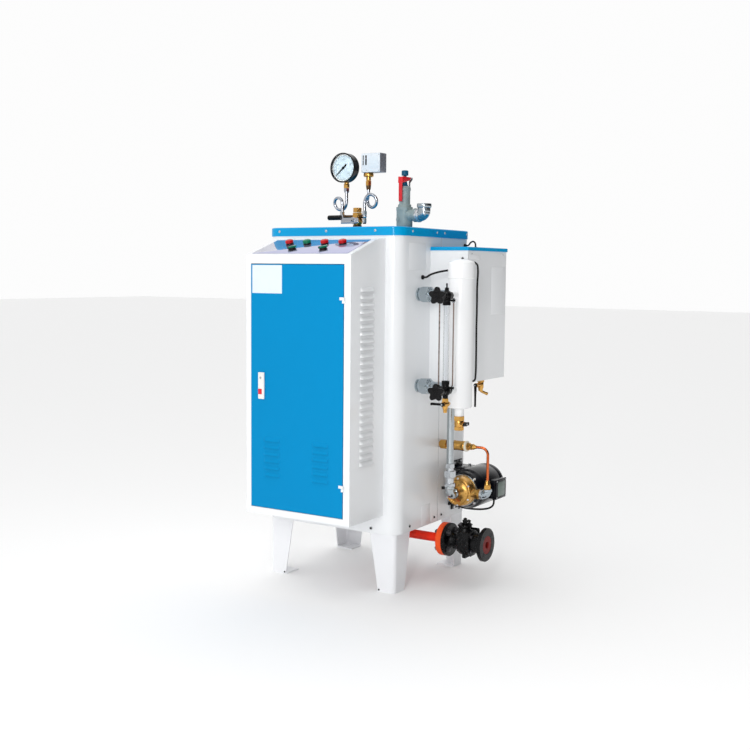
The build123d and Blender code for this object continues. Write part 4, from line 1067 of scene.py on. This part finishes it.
# brass drain cock under the lower gauge valve
p = Piece()
x, y = 453.0, -232.0
p.hexa((x, y, 696.5), (x, y, 710), 21, 0)
p.spin([(0, 674), (8.8, 674), (9.4, 677), (9.9, 690), (9.4, 695), (8.8, 697), (0, 697)], (x, y, 0), (0, 0, 1), 0, 40)
p.spin([(3.5, 660.6), (6.4, 660.6), (6.8, 662), (6.4, 668), (7.4, 669), (7.4, 674.5), (3.5, 674.5)], (x, y, 0),
       (0, 0, 1), 0, 36, ring=True)
p.spin([(0, -2), (8.9, -2), (10.8, 4), (11.0, 12), (9.0, 19), (6.4, 26.4), (0, 26.4)], (x, y, 690), (0, 1, 0), 0, 40)
p.rod((x, y - 4, 690), (x, y - 15.2, 690), 8.9, 0)
p.rod((x, y - 15, 690), (x, y - 26, 690), 3, 1, 20)
p.done("gauge_drain_cock", [BRASS, SATIN], "boiler")

p = Piece()
x, y = 453.0, -232.0
p.spin([(3.1, 15.3), (6.9, 15.3), (6.9, 21.6), (5.6, 22), (3.1, 22)], (x, y, 690), (0, -1, 0), 0, 32, ring=True)
p.prism([(-40, -4.4), (-6, -4.0), (-4, -4.4), (-4, 4.4), (-6, 4.0), (-36, 4.4), (-38.4, 4.5), (-42, 4.5), (-44, 2.5), (-44, -2.5)],
        Vector((x, y - 15.4, 690)), (1, 0, 0), (0, -1, 0), 4.8, 1.2, 0, 3)
p.prism([(-44, -4.5), (-38.2, -4.5), (-38.2, 4.5), (-44, 4.5)], Vector((x, y - 18, 690)), (1, 0, 0), (0, -1, 0), 8, 1.4, 0, 3)
p.done("gauge_cock_handle", [BLACK], "gauge_cock_lever", ["gauge_drain_lever"])

# ------------------------------------------------------------ suction pipe
X, Y = 366.0, -27.5
p = Piece()
p.rod((X, Y, 350), (X, Y, 746), 13.2, 0, 48, ch=0.2)
p.hexa((X, Y, 728), (X, Y, 746), 32, 0)
p.thread((X, Y, 718), (X, Y, 729), 12.2, 2.0, 0, 0.8)
p.hexa((X, Y, 430), (X, Y, 447), 31, 1)
p.thread((X, Y, 446), (X, Y, 458), 12.2, 2.0, 1, 0.8)
p.spin([(0, 419), (14, 419), (14, 431), (0, 431)], (X, Y, 0), (0, 0, 1), 1, 40)
p.hexa((X, Y, 397), (X, Y, 420), 41, 1)
p.spin([(0, 372), (16, 372), (16.5, 374), (16.5, 392), (19, 394), (19, 398), (0, 398)], (X, Y, 0), (0, 0, 1), 1, 44)
p.hexa((X, Y, 362), (X, Y, 374), 37, 1)
p.spin([(0, 352), (18.6, 352), (20.4, 354), (20.4, 362), (19.4, 363.4), (0, 363.4)], (X, Y, 0), (0, 0, 1), 0, 44)
path = elbow_path((X, Y, 356), (X, Y, 331), (X, 4, 331), 18.0, 12)
p.tube(path, 16.8, 0, 40)
p.spin([(0, -2), (18.6, -2), (20.4, 0), (20.4, 9), (19.2, 10.2), (0, 10.2)], (X, 0, 331), (0, 1, 0), 0, 44)
p.rod((X - 12, Y - 4, 356), (X - 27, Y - 13, 355), 5.6, 2, 24)
p.done("suction_line", [GALV, SATIN, BLACK], "boiler", ["suction_pipe"])

# ------------------------------------------------------------ pump, motor
PX, PZ = 366.0, 331.0
p = Piece()
p.spin([(0, 9.8), (17.5, 9.8), (18.6, 11), (18.6, 19), (20, 22), (24, 27), (30, 31.5), (37, 35.2), (41.5, 36.4),
        (43.2, 35.8), (44.4, 33.6), (46.6, 33.0), (50.2, 34.4), (52.0, 37.0), (53.6, 40.5), (54.4, 45.0), (54.4, 63.0),
        (55.6, 64.2), (56.4, 66), (56.4, 70.3), (0, 70.3)], (PX, 0, PZ), (0, 1, 0), 0, 96)
p.spin([(0, 0), (16.5, 0), (16.5, 22), (18.4, 24), (18.4, 34), (16.8, 36), (15.6, 60), (15.6, 86), (0, 86)],
       (PX, 54, 328), (1, 0, 0), 0, 44)
p.hexa((430, 54, 328), (446, 54, 328), 34, 0)
p.thread((446, 54, 328), (453, 54, 328), 14.6, 2.0, 0, 0.8)
for k in range(6):
    a = math.radians(30 + 60 * k)
    p.bolt((PX + 49.6 * math.cos(a), 36.2, PZ + 49.6 * math.sin(a)), (0, -1, 0), 6.4, 2.6, 1)
p.rod((PX - 14, 30, PZ + 30), (PX - 14, 20, PZ + 34), 4.2, 0, 24)
p.done("pump_casting", [BRONZE, ZINC], "boiler", ["pump_head"])

p = Piece()
p.spin([(0, 70.5), (58.5, 70.5), (60, 72), (60, 77.5), (0, 77.5)], (PX, 0, PZ), (0, 1, 0), 1, 96)
p.spin([(0, 77), (60.0, 77), (62.5, 80), (66.0, 88), (67.2, 93), (67.2, 98), (70.5, 104), (74.0, 110), (75.0, 115),
        (75.0, 122)], (PX, 0, PZ), (0, 1, 0), 0, 96)
p.spin([(0, 120), (74.2, 120), (74.6, 121), (75.0, 123), (75.0, 246), (74.2, 248.5), (73.6, 250), (74.6, 251.5),
        (75.0, 253), (75.0, 263), (74.0, 272), (71.4, 280), (66.5, 285.5), (58, 288), (0, 288)], (PX, 0, PZ), (0, 1, 0),
       0, 96)
# dark rings on the end cowl: painted shade standing in for vent slots
for k in range(9):
    p.spin([(12 + 5.6 * k, 287.6), (12 + 5.6 * k, 288.3), (14.6 + 5.6 * k, 288.3), (14.6 + 5.6 * k, 287.6)],
           (PX, 0, PZ), (0, 1, 0), 3, 64, ring=True)
for zs, (z0, z1) in enumerate(((398, 404), (258, 264))):
    p.box((285, 132, z0), (PX, 214, z1), 1.4, 0, 2)
    zz0, zz1 = (398, 424) if zs == 0 else (238, 264)
    p.box((285, 132, zz0), (290, 214, zz1), 1.2, 0, 2)
    for yy in (146, 200):
        p.bolt((290, yy, (zz0 + zz1) / 2 + (4 if zs == 0 else -4)), (1, 0, 0), 10, 5, 2)
        p.bolt((330, yy, 404 if zs == 0 else 258), (0, 0, 1 if zs == 0 else -1), 10, 5, 2)
for s in (-1, 1):
    for yy in (134, 176, 211):
        p.box((352 + s * 26 - 2.2, yy - 2.5, 386), (352 + s * 26 + 2.2, yy + 2.5, 399), 0.8, 0)
for k in range(4):
    a = math.radians(45 + 90 * k)
    p.bolt((PX + 63 * math.cos(a), 84.5, PZ + 63 * math.sin(a)), (0, -1, 0), 8, 4.5, 2)
p.done("motor_body", [MOTOR, GALV, ZINC, OPENING_SHADE], "boiler", ["pump_motor"])

# terminal box: its screw recesses in painted shade
p = Piece()
p.box((408, 168, 290), (455, 250, 362), 3.0, 0, 3)
p.box((453.5, 166.5, 288.6), (460.5, 251.5, 363.4), 2.6, 0, 3)
for yy, zz in ((172.5, 294.5), (172.5, 357.5), (245.5, 294.5), (245.5, 357.5)):
    p.screw((460.4, yy, zz), (1, 0, 0), 3.2, 1.6, 1, slot=2)
p.box((460.4, 180, 299), (461.0, 239, 353), 0.2, 3)
p.done("terminal_box", [MOTOR, ZINC, OPENING_SHADE, PLATEG], "boiler", ["motor_terminal_box"])

# ----------------------------------------------------- delivery, check valve
p = Piece()
p.hexa((450.8, 54, 328), (458.6, 54, 328), 32, 1)
p.spin([(0, 457), (16.2, 457), (17.0, 458), (17.0, 461.4), (15.4, 463), (0, 463)], (0, 54, 328), (1, 0, 0), 0, 44)
path = elbow_path((458, 54, 328), (478, 54, 328), (478, 54, 346), 15.2, 14)
p.tube(path, 14.4, 0, 44)
p.spin([(0, 341), (15.8, 341), (17.2, 342.8), (17.2, 349.4), (16.2, 350.2), (0, 350.2)], (478, 54, 0), (0, 0, 1), 0, 44)
p.done("delivery_bend", [GALVD, ZINC], "boiler", ["delivery_elbow"])

p = Piece()
p.hexa((478, 54, 350), (478, 54, 365), 22.4, 0)
p.spin([(0, 365), (10.4, 365), (10.4, 369), (9.4, 371), (7.2, 380), (6.2, 383), (0, 383)], (478, 54, 0), (0, 0, 1), 0, 36)
p.done("copper_end_nut", [BRASS], "boiler")

p = Piece()
CY, CZ = 42.0, 503.5
p.rod((285, CY, CZ), (292, CY, CZ), 11.5, 0)
p.hexa((291, CY, CZ), (316, CY, CZ), 32, 0)
p.thread((317, CY, CZ), (338, CY, CZ), 12.6, 2.3, 0, 0.9)
p.spin([(0, 336), (17.4, 336), (18.4, 338), (18.4, 349), (17.6, 350), (17.6, 378), (18.4, 379), (18.4, 391), (17.2, 393.5),
        (0, 393.5)], (0, CY, CZ), (1, 0, 0), 0, 52)
p.spin([(0, 393.3), (19.4, 393.3), (19.8, 394.5), (19.8, 399), (19.4, 400.2), (0, 400.2)], (0, CY, CZ), (1, 0, 0), 1, 48)
p.hexa((400, CY, CZ), (411, CY, CZ), 25, 0)
p.thread((410, CY, CZ), (415, CY, CZ), 9.6, 1.6, 0, 0.6)
p.hexa((414, CY, CZ), (425, CY, CZ), 20.5, 0)
p.spin([(0, 424.6), (9.8, 424.6), (9.4, 428), (6.6, 434), (6.0, 437), (0, 437)], (0, CY, CZ), (1, 0, 0), 0, 36)
p.done("check_valve_line", [BRASS, CREAM], "boiler", ["check_valve"])

# ------------------------------------------------------------------- drain
DZ = 158.0
p = Piece()
path = elbow_path((60, 0, 210.6), (60, 0, DZ), (328, 0, DZ), 40, 16)
p.tube(path, 16.85, 0, 48)
p.spin([(0, 318), (18.4, 318.6), (20.4, 321), (21.6, 325.2), (59.6, 325.8), (61, 327.2), (61, 346.4), (59.8, 347.8),
        (0, 347.8)], (0, 0, DZ), (1, 0, 0), 1, 112)
for i in range(4):
    a = math.radians(45 + 90 * i)
    cy, cz = 43.5 * math.cos(a), DZ + 43.5 * math.sin(a)
    p.bolt((325.8, cy, cz), (-1, 0, 0), 18, 8.5, 2, stud=5, smat=2)
p.done("drain_line", [REDPIPE, ORANGE, DARKSTEEL], "boiler", ["drain_pipe"])

p = Piece()
p.spin([(0, 348), (59.4, 348), (61, 349.4), (61, 360.4), (59.4, 362), (36, 362.4), (31, 364), (26.5, 368), (24.5, 374),
        (24.5, 392), (27, 400), (34, 408), (0, 408)], (0, 0, DZ), (1, 0, 0), 0, 112)
p.spin([(0, 405), (43, 405), (46, 407.4), (47, 410), (47, 421), (44.5, 423.4), (44.5, 426), (47, 428), (47, 434),
        (44.5, 436.4), (44.5, 439), (47, 441.4), (47, 452), (45.4, 454.6), (38, 456), (35, 458), (34, 462), (34, 482),
        (35.4, 488), (38, 491), (38, 494.4), (0, 494.4)], (0, 0, DZ), (1, 0, 0), 0, 80)
# open flange with its bore
p.spin([(12.5, 440), (12.5, 507.0), (14, 508.0), (33.2, 508.0), (34.0, 508.8), (46, 509), (59.4, 508.6), (61, 507.0),
        (61, 496.0), (59.4, 494.4), (36, 494), (36, 440)], (0, 0, DZ), (1, 0, 0), 0, 112, ring=True)
p.spin([(12.6, 507.4), (14, 508.5), (32.4, 508.5), (33.4, 507.8), (33.4, 507.2), (12.6, 507.2)], (0, 0, DZ), (1, 0, 0), 1, 80,
       ring=True)
p.spin([(12.5, 507.6), (12.5, 450), (11.9, 450), (11.9, 507.2)], (0, 0, DZ), (1, 0, 0), 1, 56, ring=True)
p.spin([(0, 449), (12.5, 449), (12.5, 451), (0, 451)], (0, 0, DZ), (1, 0, 0), 1, 40)
# the dark discs on the end flange face are painted shade standing in for bolt holes
for i in range(4):
    a = math.radians(45 + 90 * i)
    cy, cz = 43.5 * math.cos(a), DZ + 43.5 * math.sin(a)
    p.bolt((362.2, cy, cz), (1, 0, 0), 18, 8, 2, stud=4, smat=2)
    hy, hz = 43.5 * math.cos(a), DZ + 43.5 * math.sin(a)
    p.spin([(0, 509.05), (7.0, 509.05), (7.0, 508.4), (0, 508.4)], (0, hy, hz), (1, 0, 0), 3, 28)
    p.rod((410, 37 * math.cos(a), DZ + 37 * math.sin(a)), (452, 37 * math.cos(a), DZ + 37 * math.sin(a)), 9.6, 0, 24)
    p.bolt((454, 36.5 * math.cos(a), DZ + 36.5 * math.sin(a)), (1, 0, 0), 12, 6, 2)
    p.bolt((407, 36.5 * math.cos(a), DZ + 36.5 * math.sin(a)), (-1, 0, 0), 12, 6, 2)
p.prism([(-34, -53), (34, -53), (38, -49), (38, 34), (32, 40), (-32, 40), (-38, 34), (-38, -49)], Vector((425.5, 0, DZ)),
        (0, 1, 0), (1, 0, 0), 13, 2.2, 0, 3)
for s in (-1, 1):
    p.prism([(412, -46), (452, -46), (455, -40), (455, -10), (408, -10), (408, -40)], Vector((0, s * 45 - 2.2, DZ)),
            (1, 0, 0), (0, 1, 0), 4.4, 1.2, 0, 2)
for k in range(3):
    p.box((411 + 15 * k, -6, DZ - 52), (415 + 15 * k, 6, DZ - 40), 1.4, 0, 2)
p.spin([(0, 38), (25, 38), (22.5, 45), (20, 50), (20, 53), (24.0, 55), (24.6, 57), (24.6, 63), (23.4, 65), (0, 65)],
       (418, 0, DZ), (0, 0, 1), 0, 52)
p.prism([(-27, -11), (-21, -14), (21, -14), (27, -11), (29, 0), (27, 11), (21, 14), (-21, 14), (-27, 11), (-29, 0)],
        Vector((418, 0, DZ + 59)), (0.35, 1, 0), (0, 0, 1), 6, 1.2, 0, 2)
for s in (-1, 1):
    p.bolt((418 + s * 6.9, s * 19.8, DZ + 65), (0, 0, 1), 9, 5, 2, stud=4, smat=2)
p.rod((418, 0, DZ + 62), (418, 0, DZ + 76), 9.4, 0)
p.box((413, -5, DZ + 70), (423, 5, DZ + 88), 1.0, 0, 2)
p.prism([(-8, -8.6), (6, -8.6), (16, -4.6), (17.6, 0), (16, 4.6), (6, 8.6), (-8, 8.6), (-10.5, 0)],
        Vector((418, 0, DZ + 75.5)), (1, 0.1, 0), (0, 0, 1), 5.5, 1.0, 0, 2)
p.rod((428, 3, DZ + 80), (437, 5, DZ + 76), 4.6, 0, 20)
p.tube([(398, -18, DZ + 40), (402, -14, DZ + 52), (407, -9, DZ + 62), (411, -5, DZ + 70)], [5, 4.6, 4.4, 4.2], 0, 20)
p.done("drain_ball_valve", [BLACKIRON, DARKRED, DARKSTEEL, OPENING_SHADE], "boiler", ["drain_valve"])

# -------------------------------------------------------------- tank tap
p = Piece()
tx, ty = 400.0, 140.0
p.hexa((tx, ty, 733), (tx, ty, 746), 25, 0)
p.spin([(0, 712), (10.4, 712), (11, 714), (11, 731), (10, 733.4), (0, 733.4)], (tx, ty, 0), (0, 0, 1), 0, 40)
p.spin([(0, 700), (7.8, 700), (8.6, 704), (9.6, 712), (0, 712.5)], (tx, ty, 0), (0, 0, 1), 0, 36)
p.rod((tx, ty, 724), (tx, ty - 34, 724), 7.4, 0)
p.hexa((tx, ty - 33, 724), (tx, ty - 40, 724), 15, 0)
p.rod((tx, ty - 40, 724), (tx, ty - 50, 724), 3, 1, 20)
path = elbow_path((tx, ty, 712), (tx, ty, 700), (tx + 12.2, ty + 30.5, 687), 9.0, 8)
p.tube(path, 5.2, 0, 28)
d = (Vector((12.2, 30.5, -15))).normalized()
e = Vector((tx + 12.2, ty + 30.5, 687))
p.rod(e - d * 5, e, 5.8, 0, 28)
# dark disc at the spout's end: painted shade inside the bore
p.rod(e - d * 0.4, e + d * 0.1, 3.8, 2, 24, ch=0)
p.done("tank_drain_tap", [BRASS, SATIN, OPENING_SHADE], "boiler", ["tank_tap"])


p = Piece()
p.spin([(3.1, 40.2), (7.2, 40.2), (7.4, 41), (7.4, 44.4), (6.4, 45.4), (3.1, 45.4)], (tx, ty, 724), (0, -1, 0), 0, 32,
       ring=True)
p.prism([(-5.0, 4.5), (-5.0, -14), (-3.6, -40), (-3.4, -78), (-1.6, -80.6), (2.0, -80.6), (3.6, -78), (3.8, -40), (5.0, -14),
         (5.0, 4.5)], Vector((tx, ty - 40.6, 724)), (1, 0, 0), (0, -1, 0), 4.4, 1.2, 0, 3)
p.done("tank_tap_handle", [BLACK], "tap_lever", ["tank_tap_lever"])


# ------------------------------------------------------------------ glands
def gland(piece, o, axis, r, length=8.0):
    o, z = Vector(o), Vector(axis).normalized()
    piece.hexa(o, o + z * (length * 0.45), r * 1.75, 0)
    piece.spin([(0, length * 0.42), (r * 0.82, length * 0.42), (r * 0.84, length * 0.6), (r * 0.72, length * 0.86),
                (r * 0.5, length), (0, length)], o, z, 0, 36)


p = Piece()
gland(p, (285, -108, 1121), (1, 0, 0), 9)
gland(p, off_column(45.5, 1147), GO, 8, 7.5)
gland(p, (285, 212, 1240), (1, 0, 0), 8)
gland(p, (332, 212, 1230), (0, 0, 1), 8, 6)
gland(p, (420, -49, 757), (0, -1, 0), 7)
gland(p, (285, 118, 264), (1, 0, 0), 8)
gland(p, (440, 190, 290), (0, 0, -1), 8)
p.done("cable_glands", [BLACK], "boiler", ["lead_glands"])

# --------------------------------------------------- stage: floor and light
me = bpy.data.meshes.new("floor")
me.from_pydata([(-30, -30, 0), (30, -30, 0), (30, 30, 0), (-30, 30, 0)], [], [(0, 1, 2, 3)])
FL = bpy.data.materials.new("floor")
FL.use_nodes = True
FL.node_tree.nodes["Principled BSDF"].inputs["Base Color"].default_value = (0.95, 0.95, 0.95, 1)
FL.node_tree.nodes["Principled BSDF"].inputs["Roughness"].default_value = 0.8
me.materials.append(FL)
floor = bpy.data.objects.new("floor", me)
bpy.context.scene.collection.objects.link(floor)

world = bpy.data.worlds.new("studio")
bpy.context.scene.world = world
world.use_nodes = True
wt = world.node_tree
bg = wt.nodes["Background"]
# pale studio: white screen behind on the left, bright ceiling, dark screen behind on the right, so that side faces
# read a tone below the front
wc = wt.nodes.new("ShaderNodeTexCoord")


def toward(d, lo, hi, a, b):
    v = wt.nodes.new("ShaderNodeVectorMath")
    v.operation = "DOT_PRODUCT"
    v.inputs[1].default_value = d
    wt.links.new(wc.outputs["Generated"], v.inputs[0])
    m = wt.nodes.new("ShaderNodeMapRange")
    m.interpolation_type = "SMOOTHSTEP"
    for k, q in zip(("From Min", "From Max", "To Min", "To Max"), (lo, hi, a, b)):
        m.inputs[k].default_value = q
    wt.links.new(v.outputs["Value"], m.inputs["Value"])
    return m.outputs["Result"]


def both(u, v):
    m = wt.nodes.new("ShaderNodeMath")
    m.operation = "MULTIPLY"
    wt.links.new(u, m.inputs[0])
    wt.links.new(v, m.inputs[1])
    return m.outputs[0]


amount = both(both(toward((0.82, 0.57, 0.0), 0.45, 0.9, 1.0, 0.05), toward((-0.53, 0.84, 0.0), 0.5, 0.88, 0.76, 0.98)),
              both(toward((0.0, 0.0, 1.0), 0.35, 1.0, 1.0, 1.9), toward((0.97, -0.25, 0.0), 0.0, 0.8, 1.0, 0.32)))
wt.links.new(amount, bg.inputs["Strength"])
bg.inputs["Color"].default_value = (1, 1, 1, 1)


def area(name, loc, aim, size, power, size_y=None):
    d = bpy.data.lights.new(name, "AREA")
    d.energy = power
    d.shape = "RECTANGLE"
    d.size = size
    d.size_y = size_y or size
    o = bpy.data.objects.new(name, d)
    bpy.context.scene.collection.objects.link(o)
    o.location = loc
    o.rotation_euler = (Vector(aim) - Vector(loc)).to_track_quat("-Z", "Y").to_euler()
    return o


area("key", (0.35, -6.3, 2.9), (0.1, 0, 0.9), 2.2, 34)
area("strip", (1.95, -4.2, 1.9), (0.2, -0.2, 1.1), 0.34, 60, 2.2)

sc = bpy.context.scene
sc.view_settings.view_transform = "Standard"
